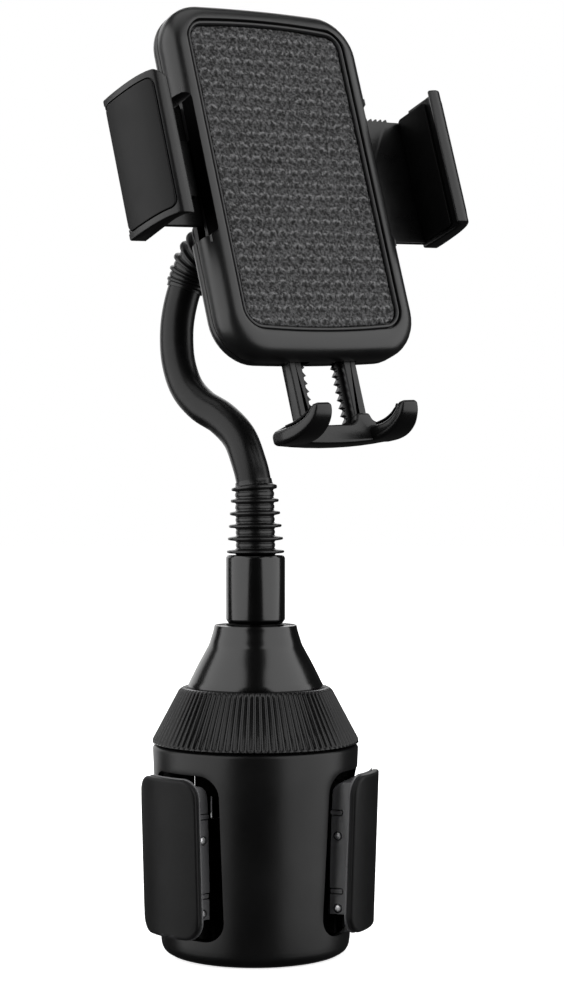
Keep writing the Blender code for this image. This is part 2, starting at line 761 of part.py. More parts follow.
def boss_slot():
    """Opening in the left notch wall for the raised boss on the left arm's plate."""
    return box((-36.1, -30.9), (5.5, 9.0), (ARM_Z - 9.9, ARM_Z + 9.9))


def rail_slots():
    """Openings in the case's bottom for the foot's two rails."""
    found = []
    for side in (-1, 1):
        x = sorted((side * (RAIL_X[0] - 3.2), side * (RAIL_X[1] + 0.4)))
        found.append(box(x, (RAIL_Y[0] - 0.4, RAIL_Y[1] + 0.4), (-70.0, -58.0)))
    return found


def make_front_cover(frame):
    rings = [
        grip_ring(0.6, 1.6), grip_ring(0.6, -0.5), grip_ring(1.1, CASE_FRONT), case_ring(5.2, CASE_FRONT),
        case_ring(2.8, -0.4), case_ring(1.2, 0.8), case_ring(0.3, 2.6), case_ring(0.0, 4.6),
        case_ring(0.0, CASE_SEAM - GAP), case_ring(CASE_WALL, CASE_SEAM - GAP), case_ring(CASE_WALL + 0.4, 3.6),
    ]
    cover = piece("front_cover", loft(rings), "case_plastic", frame)
    fuse(cover, *notch_walls(1.0, CASE_SEAM - GAP))
    cut(cover, *notch_cutters())
    cut(cover, *plate_slots())
    cut(cover, boss_slot())
    cut(cover, *rail_slots())


def make_back_cover(frame):
    rings = [
        case_ring(CASE_WALL + 0.3, 11.5), case_ring(CASE_WALL, CASE_SEAM), case_ring(0.0, CASE_SEAM),
        case_ring(0.0, 9.6), case_ring(1.0, 12.2), case_ring(3.6, CASE_BACK),
    ]
    cover = piece("back_cover", loft(rings), "case_plastic", frame)
    fuse(cover, *notch_walls(CASE_SEAM, 12.4))
    guides = [box(sorted((s * 14.0, s * 15.6)), (7.2, 12.0), (-58.0, -26.0)) for s in (-1, 1)]
    axle = rod(2.2, (0, 12.0, ARM_Z), (0, RACK_Y[0] - 0.1, ARM_Z), 14)
    bosses = [rod(3.0, (x, 12.0, z), (x, 4.2, z), 12) for x, z in case_screws()]
    fuse(cover, axle, *guides, *bosses)
    cut(cover, *notch_cutters())
    cut(cover, *plate_slots())
    cut(cover, *rail_slots())
    holes = [rod(1.35, (x, 15.0, z), (x, 5.0, z), 10) for x, z in case_screws()]
    heads = [rod(2.7, (x, 15.0, z), (x, 11.9, z), 12) for x, z in case_screws()]
    cut(cover, *holes)
    cut(cover, *heads, button_hole(0.35, 11.0, 15.0))
    for number, (x, z) in enumerate(case_screws(), 1):
        shape = along([((x, y, z), (0, -1, 0), r) for y, r in ((13.4, 2.4), (12.2, 2.4), (12.19, 1.05), (5.3, 1.05))])
        piece(f"case_screw_{number}", shape, "steel", frame, origin=(x, 13.4, z))


def case_screws():
    return [(-26.0, -44.0), (26.0, -44.0)]


def button_hole(grow, low, high):
    x = (BUTTON_AT[0] - BUTTON_HALF[0] - grow, BUTTON_AT[0] + BUTTON_HALF[0] + grow)
    z = (BUTTON_AT[1] - BUTTON_HALF[1] - grow, BUTTON_AT[1] + BUTTON_HALF[1] + grow)
    return prism(rounded(x, z, 3.0), "Y", low, high)


def make_grip_pad(frame):
    rings = [grip_ring(-0.5, 0.0), grip_ring(0.1, 0.3), grip_ring(0.1, 1.3)]
    piece("grip_pad", loft(rings), "grip_rubber", frame)


# ---------------------------------------------------------------- arms and pinion

def rack_teeth(first, last):
    """Lower edge of a rack: trapezium teeth pointing down to the pinion, from x = first to last."""
    pitch = 2 * pi * PITCH_R / PINION_TEETH
    root = PITCH_R + 1.0
    tip = PITCH_R - 0.8
    half = pitch / 4 - BACKLASH / 4
    points = []
    for i in range(round((last - first) / pitch) + 1):
        middle = pitch * (round(first / pitch) + i)
        points += [(middle - half - 0.36, root), (middle - half + 0.3, tip)]
        points += [(middle + half - 0.3, tip), (middle + half + 0.36, root)]
    return points


def jaw_curve():
    """Outer face of a jaw in plan, from its back edge forward to the tip of its lip."""
    return [
        (JAW_OUT, JAW_BACK), (JAW_OUT - 0.2, 2.0), (JAW_OUT - 0.8, -4.0), (JAW_OUT - 1.8, -9.0),
        (JAW_OUT - 3.2, -12.6), (JAW_OUT - 5.2, -14.7), (JAW_OUT - 7.6, -15.4), (50.8, -14.8),
    ]


def inset_curve(depth):
    """The middle part of the jaw's outer face, set in by a depth."""
    found = []
    for x, y in jaw_curve()[:5]:
        lean = max(0.0, -y) / 40.0
        found.append((x - depth, y + depth * lean))
    return found


def cap_shape(grow):
    """Thin panel on the jaw's outer face; grown a little it is the pocket that holds it."""
    outer = inset_curve(-0.6 if grow else 0.0)
    inner = inset_curve(1.0 + grow)
    outer[0] = (outer[0][0], JAW_BACK + (2.0 if grow else -0.1))
    inner[0] = (inner[0][0], JAW_BACK + (2.0 if grow else -0.1))
    front = outer[-1]
    outline = outer + [(front[0] - 0.2, front[1] - grow)] if grow else outer
    z = (ARM_Z - JAW_HALF_H + 2.8 - grow, ARM_Z + JAW_HALF_H - 2.8 + grow)
    return prism(outline + inner[::-1], "Z", z[0], z[1])


def plate_outline(side):
    """Front view of an arm's sliding plate; the right one carries ratchet teeth on its top edge."""
    low = ARM_Z - PLATE_HALF_H + (4.0 if side < 0 else 0.0)
    high = ARM_Z + PLATE_HALF_H - 0.9
    top = [(24.0, high)]
    if side > 0:
        for i in range(5):
            x = 39.6 + 2.1 * i
            top += [(x, high), (x + 1.5, high + 0.9), (x + 2.0, high + 0.9)]
        top.append((50.2, high))
    return [(24.0, low), (JAW_IN + 1.0, low), (JAW_IN + 1.0, high)] + top[::-1]


def mirrored(shape, side):
    return [Vector((p.x * side, p.y, p.z)) for p in shape[0]], shape[1]


def rack_bar():
    """Rack in the left arm's position, above the pinion, in the frame of the pinion's centre."""
    teeth = rack_teeth(-24.5, 3.3)
    outline = [(-46.0, PITCH_R + 1.0)] + teeth + [(5.2, PITCH_R + 1.0), (5.2, 10.2), (-46.0, 10.2)]
    return prism(outline, "Y", RACK_Y[0], RACK_Y[1])


def make_arm(name, side, frame):
    jaw_inner = [(51.2, -13.4), (53.8, -13.2), (54.9, -11.4), (JAW_IN, -8.0), (JAW_IN, JAW_BACK)]
    jaw = prism(jaw_curve() + jaw_inner, "Z", ARM_Z - JAW_HALF_H, ARM_Z + JAW_HALF_H)
    arm = piece(f"{name}_arm", mirrored(jaw, side), "case_plastic", frame)
    fuse(arm, mirrored(prism(plate_outline(side), "Y", *PLATE_Y), side))
    turn = Matrix.Translation((0, 0, ARM_Z))
    if side > 0:
        turn = turn @ Matrix.Rotation(pi, 4, "Y")
    fuse(arm, moved(rack_bar(), turn))
    spine_z = sorted((ARM_Z - side * (PITCH_R + 1.4), ARM_Z - side * 9.8))
    fuse(arm, box(sorted((side * 25.0, side * 45.0)), (PLATE_Y[0] + 0.5, RACK_Y[1] - 0.2), spine_z))
    if side < 0:
        fuse(arm, box((-53.0, -41.5), (PLATE_Y[0] - 1.6, PLATE_Y[0] + 0.8), (ARM_Z - 9.5, ARM_Z + 9.5)))
    cut(arm, mirrored(cap_shape(0.25), side))
    cut(arm, mirrored(box((50.0, 58.2), (1.8, 12.0), (ARM_Z + PLATE_HALF_H - 0.9, 30.0)), side))
    piece(f"{name}_jaw_cap", mirrored(cap_shape(0.0), side), "case_plastic", frame)
    pad_x = (JAW_IN - 1.3, JAW_IN - GAP)
    pad = prism(rounded((-7.4, 5.6), (ARM_Z - 20.4, ARM_Z + 20.4), 2.5, 2), "X", *pad_x)
    piece(f"{name}_jaw_pad", mirrored(pad, side), "pad_rubber", frame)


def pinion_outline():
    """Twelve teeth with gaps that clear the racks."""
    points = []
    half = pi / PINION_TEETH / 2 - BACKLASH / 4 / PITCH_R
    for i in range(PINION_TEETH):
        middle = 2 * pi * (i + 0.5) / PINION_TEETH + pi / 2
        for radius, spread in ((4.9, 1.45), (5.6, 1.2), (6.3, 0.8), (6.75, 0.45)):
            angle = middle - half * spread
            points.append((radius * cos(angle), radius * sin(angle)))
        for radius, spread in ((6.75, 0.45), (6.3, 0.8), (5.6, 1.2), (4.9, 1.45)):
            angle = middle + half * spread
            points.append((radius * cos(angle), radius * sin(angle)))
    return points


def make_pinion(frame):
    axis = frame_at("pinion_frame", (0, 0, ARM_Z), parent=frame)
    gear = piece("pinion", prism(pinion_outline(), "Y", *RACK_Y), "nylon", axis)
    cut(gear, rod(2.6, (0, 8, 0), (0, 13, 0), 14))


def spiral_spring():
    """Flat clock spring behind the front cover's floor, round the pinion's axis."""
    steps = 14
    rings = []
    for i in range(int(2.5 * steps) + 1):
        angle = 2 * pi * i / steps
        radius = 3.2 + 1.1 * i / steps
        ring = []
        for r, y in ((radius, 4.4), (radius + 0.5, 4.4), (radius + 0.5, 6.6), (radius, 6.6)):
            ring.append((r * cos(angle), y, ARM_Z + r * sin(angle)))
        rings.append(ring)
    return loft(rings)


# ---------------------------------------------------------------- foot and release

def foot_rail():
    """Front view of a right-hand rail with saw teeth on its inner strip, in two depths."""
    rib = box(RAIL_X, RAIL_Y, (FOOT_Z[1] - 2.0, RAIL_TOP))
    strip = [(RAIL_X[0] + 0.5, FOOT_Z[1] - 1.0), (7.2, FOOT_Z[1] - 1.0)]
    pitch = 2.7
    for i in range(14):
        z = FOOT_Z[1] + 1.0 + pitch * i
        strip += [(7.2, z), (5.8, z + 0.5), (7.2, z + pitch - 0.4)]
    strip.append((7.2, RAIL_TOP - 0.5))
    strip.append((RAIL_X[0] + 0.5, RAIL_TOP - 0.5))
    return rib, prism(strip, "Y", RAIL_Y[1] - 2.2, RAIL_Y[1] - 0.1)


def foot_bar():
    """Front view of the bar: level top, flares up to the rails, bowed underside."""
    low, high = FOOT_Z
    half = [
        (22.6, low + 2.2), (22.6, high - 1.6), (21.2, high), (16.4, high + 0.2), (14.3, high + 1.2), (13.3, high + 3.6),
        (RAIL_X[0], high + 3.6), (7.6, high + 1.0), (5.6, high),
    ]
    top = half + [(-x, z) for x, z in reversed(half)]
    under = []
    for i in range(9):
        x = -21.6 + 43.2 * i / 8
        under.append((x, low + 1.4 * (x / 21.6) ** 2))
    return prism(top + under, "Y", RAIL_Y[0] - 1.6, RAIL_Y[1])


def hook(side):
    """A finger that runs forward from the bar's end and curves up to a rounded tip."""
    path = (
        (18.0, 8.0, -87.2, 5.4, 2.5), (17.9, 3.0, -87.9, 5.7, 2.5), (17.7, -2.0, -88.0, 5.3, 2.3),
        (17.4, -6.4, -87.0, 4.6, 2.0), (17.1, -9.4, -85.2, 3.9, 1.8), (17.0, -10.9, -83.2, 3.4, 1.6),
        (17.0, -11.3, -81.9, 2.4, 1.0),
    )
    rings = []
    for i, (x, y, z, half_w, half_t) in enumerate(path):
        before = Vector(path[max(0, i - 1)][:3])
        after = Vector(path[min(len(path) - 1, i + 1)][:3])
        ahead = (after - before).normalized()
        across = Vector((1, 0, 0))
        above = across.cross(ahead).normalized()
        ring = []
        for a, b in rounded((-half_w, half_w), (-half_t, half_t), half_t * 0.6, 1):
            ring.append(Vector((x, y, z)) + across * a + above * b)
        rings.append(ring)
    return mirrored(loft(rings), side)


def hook_pad(side):
    """Thin soft liner on the inside of a hook."""
    path = (
        (17.9, 3.0, -87.9, 4.2), (17.7, -2.0, -88.0, 4.0), (17.4, -6.2, -87.1, 3.4),
        (17.1, -9.2, -85.4, 2.7), (17.0, -10.6, -83.6, 2.2),
    )
    rings = []
    for i, (x, y, z, half_w) in enumerate(path):
        before = Vector(path[max(0, i - 1)][:3])
        after = Vector(path[min(len(path) - 1, i + 1)][:3])
        ahead = (after - before).normalized()
        above = Vector((1, 0, 0)).cross(ahead).normalized()
        if above.z < 0:
            above = -above
        base = Vector((x, y, z))
        corners = ((-half_w, 2.8), (half_w, 2.8), (half_w, 3.5), (-half_w, 3.5))
        rings.append([base + Vector((a, 0, 0)) + above * b for a, b in corners])
    return mirrored(loft(rings), side)


def make_foot(frame):
    foot = piece("foot_support", foot_bar(), "case_plastic", frame)
    for side in (-1, 1):
        rib, strip = foot_rail()
        fuse(foot, mirrored(rib, side))
        fuse(foot, mirrored(strip, side))
    for side in (-1, 1):
        fuse(foot, hook(side))
    for name, side in (("left", -1), ("right", 1)):
        piece(f"hook_pad_{name}", hook_pad(side), "pad_rubber", frame)
    detent = box((-5.2, 5.2), (8.6, 11.2), (-56.0, -51.0))
    clip = piece("foot_detent", detent, "inner_plastic", frame)
    cut(clip, box((-3.6, 3.6), (7.0, 13.0), (-54.4, -48.0)))


def make_release(frame):
    """Push button in the back cover; its wedge lifts the pawl off the right arm's ratchet."""
    button = piece("release_button", button_hole(0.0, 11.4, 15.2), "inner_plastic", frame)
    x, z = BUTTON_AT
    flange = box((x - 9.6, x + 9.6), (10.2, 11.1), (z - 6.2, z + 6.2))
    ramp = ((10.4, z - 4.0), (10.4, z + 2.8), (9.2, z + 1.6), (6.6, z - 1.0), (6.6, z - 4.0))
    wedge = prism(ramp, "X", -3.0, 3.0)
    stem = box((x - 5.0, x + 5.0), (11.0, 12.0), (z - 3.0, z + 3.0))
    fuse(button, flange)
    fuse(button, stem)
    fuse(button, wedge)
    nose_low = ARM_Z + PLATE_HALF_H + 0.3
    pawl_outline = (
        (27.0, nose_low), (28.6, nose_low), (29.8, nose_low + 2.0), (29.8, 33.5), (4.4, 46.5),
        (-4.4, 46.5), (-4.4, 43.9), (3.4, 43.9), (25.8, 32.0),
    )
    pawl = prism(pawl_outline, "Y", 6.9, 8.3)
    piece("lock_pawl", pawl, "inner_plastic", frame)
    piece("button_spring", coil_spring(x, z), "steel", frame)
    piece("pinion_spring", spiral_spring(), "steel", frame)


def coil_spring(x, z):
    """Button's return spring at its pressed length, between the cover's floor and the flange."""
    steps = 8
    turns = 4
    rings = []
    for i in range(turns * steps + 1):
        angle = 2 * pi * i / steps
        y = 4.1 + 4.0 * i / (turns * steps)
        ring = []
        for r, rise in ((1.6, -0.2), (2.0, -0.2), (2.0, 0.15), (1.6, 0.15)):
            ring.append((x - 8.0 + r * cos(angle), y + rise, z + r * sin(angle)))
        rings.append(ring)
    return loft(rings)


# ---------------------------------------------------------------- assembly

def cradle_rotation():
    yaw = Matrix.Rotation(radians(CRADLE_YAW), 3, "Z")
    lean = Matrix.Rotation(radians(CRADLE_LEAN), 3, "X")
    roll = Matrix.Rotation(radians(CRADLE_ROLL), 3, "Y")
    return yaw @ lean @ roll


def clear_scene():
    for obj in list(bpy.data.objects):
        bpy.data.objects.remove(obj, do_unlink=True)


def make_cradle(frame):
    make_front_cover(frame)
    make_back_cover(frame)
    make_grip_pad(frame)
    make_arm("left", -1, frame)
    make_arm("right", 1, frame)
    make_pinion(frame)
    make_foot(frame)
    make_release(frame)


def main():
    clear_scene()
    make_cup()
    make_bottom()
    make_chassis()
    make_drive()
    make_carriage()
    make_wings()
    make_cone()
    rotation = cradle_rotation()
    ball_centre = Vector(CRADLE_AT) + rotation @ Vector(BALL_AT)
    stud_end = Vector(NECK_ROUTE[-3])
    make_neck(stud_end)
    cradle = frame_at("cradle_frame", CRADLE_AT, rotation)
    ball = frame_at("ball_frame", BALL_AT, parent=cradle)
    direction = rotation.transposed() @ (stud_end - ball_centre).normalized()
    make_ball_joint(ball, direction)
    make_cradle(cradle)


main()
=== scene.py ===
"""Looks of the car phone mount: every visible piece in detail, its materials, the stage and the camera.

Lengths are in millimetres until a mesh is made. The cradle's pieces are made in the cradle's own frame,
with x to the right, y to the back and z up, and the wings' pieces in a frame with +X outwards.
"""

from math import cos, exp, hypot, pi, radians, sin, sqrt

import bmesh
import bpy
from mathutils import Matrix, Vector, noise


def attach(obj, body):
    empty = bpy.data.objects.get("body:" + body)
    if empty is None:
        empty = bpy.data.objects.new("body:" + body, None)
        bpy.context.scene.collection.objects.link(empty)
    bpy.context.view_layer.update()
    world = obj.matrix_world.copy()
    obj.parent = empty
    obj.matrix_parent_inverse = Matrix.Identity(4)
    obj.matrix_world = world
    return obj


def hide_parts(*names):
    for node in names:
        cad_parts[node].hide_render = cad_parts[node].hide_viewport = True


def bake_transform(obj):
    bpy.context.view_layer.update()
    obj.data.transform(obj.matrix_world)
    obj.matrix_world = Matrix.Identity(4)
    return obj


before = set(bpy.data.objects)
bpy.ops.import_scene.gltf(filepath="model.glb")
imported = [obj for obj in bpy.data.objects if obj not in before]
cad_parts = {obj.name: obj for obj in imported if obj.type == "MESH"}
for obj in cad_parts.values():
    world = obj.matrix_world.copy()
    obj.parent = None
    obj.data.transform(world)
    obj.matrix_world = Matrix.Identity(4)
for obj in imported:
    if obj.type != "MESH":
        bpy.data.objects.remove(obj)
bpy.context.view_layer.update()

MM = 0.001
SHARP = radians(34)  # edges that turn more than this stay crisp
SHARP_PLATE = radians(60)  # the same on plates, pins and beads, whose rims are rounded in few steps

# Base cup and wings
CUP_R_BOTTOM = 31.0
CUP_R_TOP = 33.75
CUP_H = 68.1
CUP_WALL = 2.1
CUP_FOOT_R = 26.8
SCREW_RING_R = 23.5
WINDOW_HALF = 15.3
WINDOW_Z = (8.0, 60.8)
WING_AZIMUTHS = (-47.0, 73.0, 193.0)  # degrees from -Y towards +X
WING_OUT = 6.6
PAD_R = 33.4
PAD_HALF = PAD_R * radians(24.0)
PAD_Z = (9.5, 60.0)
PAD_THICK = 2.8
PAD_CORNER = 6.0
WING_LEAN = 0.035
WING_MID_Z = 37.0
BRACKET_HALF_W = 9.0
BRACKET_Z = (15.0, 57.5)
BRACKET_IN = 28.0
PIN_R = 1.2
PIN_X = 30.5
PIN_HEIGHTS = {"upper": 40.2, "lower": 17.0}
SLOT_HEIGHTS = (47.7, 22.5)

# Adjusting ring, cone and ferrule
RING_Z = (68.6, 86.6)
RING_R = (34.4, 24.8)
RING_RIBS = 90
SKIRT_R = (18.6, 19.8)
SKIRT_LOW = 52.6
FERRULE_R = 9.7
FERRULE_Z = (107.3, 129.8)

# Neck: the CAD's route from the ferrule to the ball
NECK_R = 5.75
NECK_ROUTE = (
    (0.0, 0.0, 104.0), (0.0, 0.0, 118.0), (0.0, 0.0, 132.0), (-0.2, 0.0, 144.0),
    (-0.6, 0.2, 153.6), (-2.4, 1.8, 161.0), (-5.6, 5.8, 169.0), (-11.4, 11.3, 175.3),
    (-18.3, 16.8, 179.9), (-23.6, 21.8, 186.2), (-26.6, 26.0, 195.0), (-27.4, 28.9, 204.5),
    (-26.6, 30.6, 213.0), (-24.3, 31.2, 221.7), (-20.6, 29.4, 229.2), (-14.2, 25.0, 235.0),
    (-7.2, 19.9, 239.4), (-0.5, 14.9, 243.4),
)
NECK_START_Z = 116.5
NECK_BENDS = (50.0, 69.0, 88.0, 107.0)
BEND_SPREAD = 8.5  # a length on each side of a bending point
SKIN_CUTS = (30.0, 59.5, 78.5, 97.5, 126.0)

# Cradle
CRADLE_AT = (12.7, -5.0, 254.41)
CRADLE_YAW = 33.98
CRADLE_LEAN = -16.0
CRADLE_ROLL = -2.92
BALL_AT = (0.0, 26.0, -4.0)
BALL_R = 8.5
BOWL_R = 11.45
NUT_RIBS = 32
CASE_HALF_W = 37.9
CASE_Z = (-62.8, 60.0)
CASE_CORNER = 14.0
CASE_ARCH = 1.2
CASE_FRONT = -1.0
CASE_SEAM = 8.4
CASE_BACK = 13.5
CASE_WALL = 2.0
GRIP_HALF_W = 30.8
GRIP_Z = (-54.0, 53.6)
GRIP_CORNER = 6.0
GRIP_ARCH = 1.6
NOTCH_IN = 34.3
ARM_Z = 2.8
NOTCH_Z = (ARM_Z - 24.4, ARM_Z + 24.4)
JAW_Z = (ARM_Z - 23.9, ARM_Z + 23.9)
PLATE_HALF_H = 22.7
PLATE_Y = (7.5, 9.3)
RACK_Y = (9.6, 11.1)
JAW_IN = 55.6
PITCH_R = 6.0
RACK_PITCH = pi
RAIL_X = (8.4, 13.3)
RAIL_Y = (6.0, 10.6)
RAIL_TOP = -42.0
FOOT_Z = (-90.6, -84.2)
SIDES = (("left", -1), ("right", 1))
BUTTON_AT = (0.0, 42.0)
BUTTON_HALF = (8.0, 4.5)
CASE_SCREWS = ((-26.0, -44.0), (26.0, -44.0))

# Grip pad: rows of pits with a small arch over each
SCALE_PITCH = (4.45, 4.28)
SCALE_DEPTH = 0.42
ARCH_R = 1.6


# ---- shapes: (points, faces) in millimetres

def loft(rings, closed=False):
    """Skin rings of equal length. The end rings are capped, or joined to each other when closed."""
    count = len(rings[0])
    points = [Vector(p) for ring in rings for p in ring]
    faces = []
    for i in range(len(rings) if closed else len(rings) - 1):
        low = i * count
        high = (i + 1) % len(rings) * count
        for j in range(count):
            k = (j + 1) % count
            faces.append((low + j, low + k, high + k, high + j))
    if not closed:
        faces += [tuple(range(count)), tuple(range(len(points) - count, len(points)))]
    return points, faces


def turned(profile, sides=96, axis="Z", closed=False, wave=None):
    """Turn (radius, height, share) entries about an axis; share times wave(angle) widens them."""
    points = []
    rings = []
    for radius, height, *share in profile:
        count = 1 if radius == 0 else sides
        rings.append(range(len(points), len(points) + count))
        for i in range(count):
            angle = 2 * pi * i / sides
            reach = radius + (share[0] * wave(angle) if share else 0.0)
            x = reach * cos(angle)
            y = reach * sin(angle)
            points.append(Vector((x, y, height) if axis == "Z" else (x, height, -y)))
    faces = []
    for low, high in zip(rings, rings[1:] + rings[:1] if closed else rings[1:]):
        for i in range(sides):
            k = (i + 1) % sides
            corners = (low[i % len(low)], low[k % len(low)], high[k % len(high)], high[i % len(high)])
            face = tuple(dict.fromkeys(corners))
            if len(face) > 2:
                faces.append(face)
    if not closed:
        ends = ((rings[0], -1), (rings[-1], 1))
        faces += [tuple(ring[::turn]) for ring, turn in ends if len(ring) > 1]
    return points, faces


def prism(outline, axis, low, high):
    """Extrude a flat outline along X, Y or Z. The outline holds the other two coordinates in order."""
    return loft([[on_axis(axis, a, b, c) for a, b in outline] for c in (low, high)])


def on_axis(axis, a, b, c):
    return {"X": (c, a, b), "Y": (a, c, b), "Z": (a, b, c)}[axis]


def grown(span, more):
    return span[0] - more, span[1] + more


def on_side(side, near, far):
    """A range of x on the left (-1) or right (1)."""
    return sorted((side * near, side * far))


def box(x, y, z):
    return prism(((x[0], y[0]), (x[1], y[0]), (x[1], y[1]), (x[0], y[1])), "Z", z[0], z[1])


def fillet(outline, radius, steps=4):
    """Round every corner of an outline with a curve that starts about radius away from it."""
    found = []
    count = len(outline)
    for i, corner in enumerate(outline):
        here = Vector(corner)
        back = Vector(outline[i - 1]) - here
        ahead = Vector(outline[(i + 1) % count]) - here
        reach = min(radius, back.length * 0.45, ahead.length * 0.45)
        if back.angle(ahead) > radians(168):
            found.append(here)
            continue
        start = here + back.normalized() * reach
        end = here + ahead.normalized() * reach
        for k in range(steps + 1):
            t = k / steps
            found.append(start * (1 - t) ** 2 + here * 2 * t * (1 - t) + end * t**2)
    return found


def inset(outline, depth):
    """Move an outline inwards by a depth; it runs counter-clockwise."""
    found = []
    for i, corner in enumerate(outline):
        here = Vector(corner)
        before = (here - Vector(outline[i - 1])).normalized()
        after = (Vector(outline[(i + 1) % len(outline)]) - here).normalized()
        inwards = Vector((-before.y, before.x))
        left = inwards + Vector((-after.y, after.x))
        if left.length < 1e-6:
            left = inwards * 2
        left.normalize()
        found.append(here + left * depth / max(0.5, left.dot(inwards)))
    return found


def ccw(outline):
    """The outline as a list that runs counter-clockwise."""
    pairs = zip(outline, [*outline[1:], outline[0]])
    area = sum(a[0] * b[1] - b[0] * a[1] for a, b in pairs)
    return list(outline)[::-1] if area < 0 else list(outline)


def rims(low, high, edge, steps):
    """Heights and depths of the sections that round both end faces of a prism."""
    found = []
    for start, way in ((low, 1), (high, -1)):
        angles = [pi / 2 * i / steps for i in range(steps + 1)]
        half = [(start + way * edge * (1 - sin(a)), edge * (1 - cos(a))) for a in angles]
        found += half[::way * -1]
    return found


def soft_prism(outline, axis, low, high, edge=0.4, corner=1.0):
    """A prism with rounded corners and rounded rims on its two end faces."""
    outline = ccw(outline)
    if corner:
        outline = fillet(outline, corner)
    sections = [(inset(outline, depth), c) for c, depth in rims(low, high, edge, 3)]
    return loft([[on_axis(axis, p.x, p.y, c) for p in section] for section, c in sections])


def rounded(x, z, radius, steps=6):
    """Corner points of a rounded rectangle between x[0]..x[1] and z[0]..z[1]."""
    outline = []
    for cx, cz, start in (
        (x[1] - radius, z[0] + radius, -pi / 2), (x[1] - radius, z[1] - radius, 0.0),
        (x[0] + radius, z[1] - radius, pi / 2), (x[0] + radius, z[0] + radius, pi),
    ):
        for i in range(steps + 1):
            angle = start + pi / 2 * i / steps
            outline.append((cx + radius * cos(angle), cz + radius * sin(angle)))
    return outline


def smoothed(points, steps=6):
    """Points along a smooth curve through the given ones (Catmull-Rom)."""
    points = [Vector(p) for p in points]
    padded = [points[0] * 2 - points[1], *points, points[-1] * 2 - points[-2]]
    found = []
    for a, b, c, d in zip(padded, padded[1:], padded[2:], padded[3:]):
        for i in range(steps):
            t = i / steps
            bend = b * 2 + (c - a) * t + (a * 2 - b * 5 + c * 4 - d) * t**2 + (b * 3 - a - c * 3 + d) * t**3
            found.append(bend * 0.5)
    return found + [points[-1]]


def along(stations, sides=32):
    """Skin circles given as (centre, direction, radius), carried without twist."""
    rings = []
    side = Vector(stations[0][1]).normalized().orthogonal().normalized()
    for centre, direction, radius in stations:
        ahead = Vector(direction).normalized()
        side = (side - ahead * side.dot(ahead)).normalized()
        across = ahead.cross(side)
        turn = [2 * pi * i / sides for i in range(sides)]
        rings.append([Vector(centre) + (side * cos(a) + across * sin(a)) * radius for a in turn])
    return loft(rings)


def rod(radius, start, end, sides=32, round_end=0.35):
    """A pin between two points, with rounded end edges."""
    start = Vector(start)
    ahead = (Vector(end) - start).normalized()
    length = (Vector(end) - start).length
    angles = [pi / 2 * i / 3 for i in range(4)]
    tip = [(round_end * (1 - sin(a)), radius - round_end * (1 - cos(a))) for a in angles]
    stations = tip[::-1] + [(length - s, r) for s, r in tip]
    return along([(start + ahead * s, ahead, r) for s, r in stations], sides)


class Curve:
    """A smooth curve read by its arc length."""

    def __init__(self, points, steps):
        self.points = smoothed(points, steps)
        self.lengths = [0.0]
        for a, b in zip(self.points, self.points[1:]):
            self.lengths.append(self.lengths[-1] + (b - a).length)

    def reached(self, length):
        return max(1, next(i for i, value in enumerate(self.lengths) if value >= length))

    def at(self, length):
        i = self.reached(length)
        share = (length - self.lengths[i - 1]) / (self.lengths[i] - self.lengths[i - 1])
        return self.points[i - 1].lerp(self.points[i], share)


def moved(shape, matrix):
    return [matrix @ p for p in shape[0]], shape[1]


def sheared(shape):
    """Lean a wing's shape outwards with height, as the cup's side does."""
    return [Vector((p.x + WING_LEAN * (p.z - WING_MID_Z), p.y, p.z)) for p in shape[0]], shape[1]


def mirrored(shape, side):
    return [Vector((p.x * side, p.y, p.z)) for p in shape[0]], shape[1]


def edge_distance(s, z, s_range, z_range, corner):
    """How far a point is inside the outline of a rounded rectangle."""
    qs = abs(s - sum(s_range) / 2) - (s_range[1] - s_range[0]) / 2 + corner
    qz = abs(z - sum(z_range) / 2) - (z_range[1] - z_range[0]) / 2 + corner
    return corner - hypot(max(qs, 0.0), max(qz, 0.0)) - min(max(qs, qz), 0.0)


def fall(radius, reach):
    """How far a round lies below its flat face, at a reach in from its outer edge."""
    return radius - sqrt(max(0.0, radius**2 - (radius - reach) ** 2)) if reach < radius else 0.0


def curved_plate(plan, s_range, z_range, corner, thickness, bevel, proud=0.0):
    """A plate with rounded corners and face edge; plan(s) gives a plan point and its outward normal."""
    reaches = [0.0, 0.08 * bevel, 0.3 * bevel, 0.6 * bevel, bevel, 1.6 * bevel]
    reaches += [corner * (1 - cos(radians(a))) for a in range(6, 91, 7)] + [corner]
    length = s_range[1] - s_range[0]
    reaches = sorted(set(round(r, 4) for r in reaches if r < length / 2))
    middle = [s_range[0] + length * i / 24 for i in range(25)]
    stations = [s_range[0] + r for r in reaches] + [s_range[1] - r for r in reaches]
    flat = (s_range[0] + reaches[-1], s_range[1] - reaches[-1])
    stations += [s for s in middle if flat[0] < s < flat[1]]
    ends = (0.0, 0.08, 0.3, 0.6, 1.0, 1.6)
    columns = []
    for s in sorted(stations):
        drop = fall(corner, min(s - s_range[0], s_range[1] - s))
        low = z_range[0] + drop
        high = z_range[1] - drop
        heights = [low + bevel * e for e in ends] + [low + (high - low) * i / 8 for i in range(1, 8)]
        heights += [high - bevel * e for e in reversed(ends)]
        point, outward = plan(s)
        column = [on_plan(point, outward, -thickness, low)]
        for z in heights:
            dip = fall(bevel, max(0.0, edge_distance(s, z, s_range, z_range, corner)))
            column.append(on_plan(point, outward, proud - dip, z))
        column.append(on_plan(point, outward, -thickness, high))
        columns.append(column)
    return loft(columns)


def on_plan(point, outward, reach, z):
    return (point[0] + outward[0] * reach, point[1] + outward[1] * reach, z)


# ---- materials

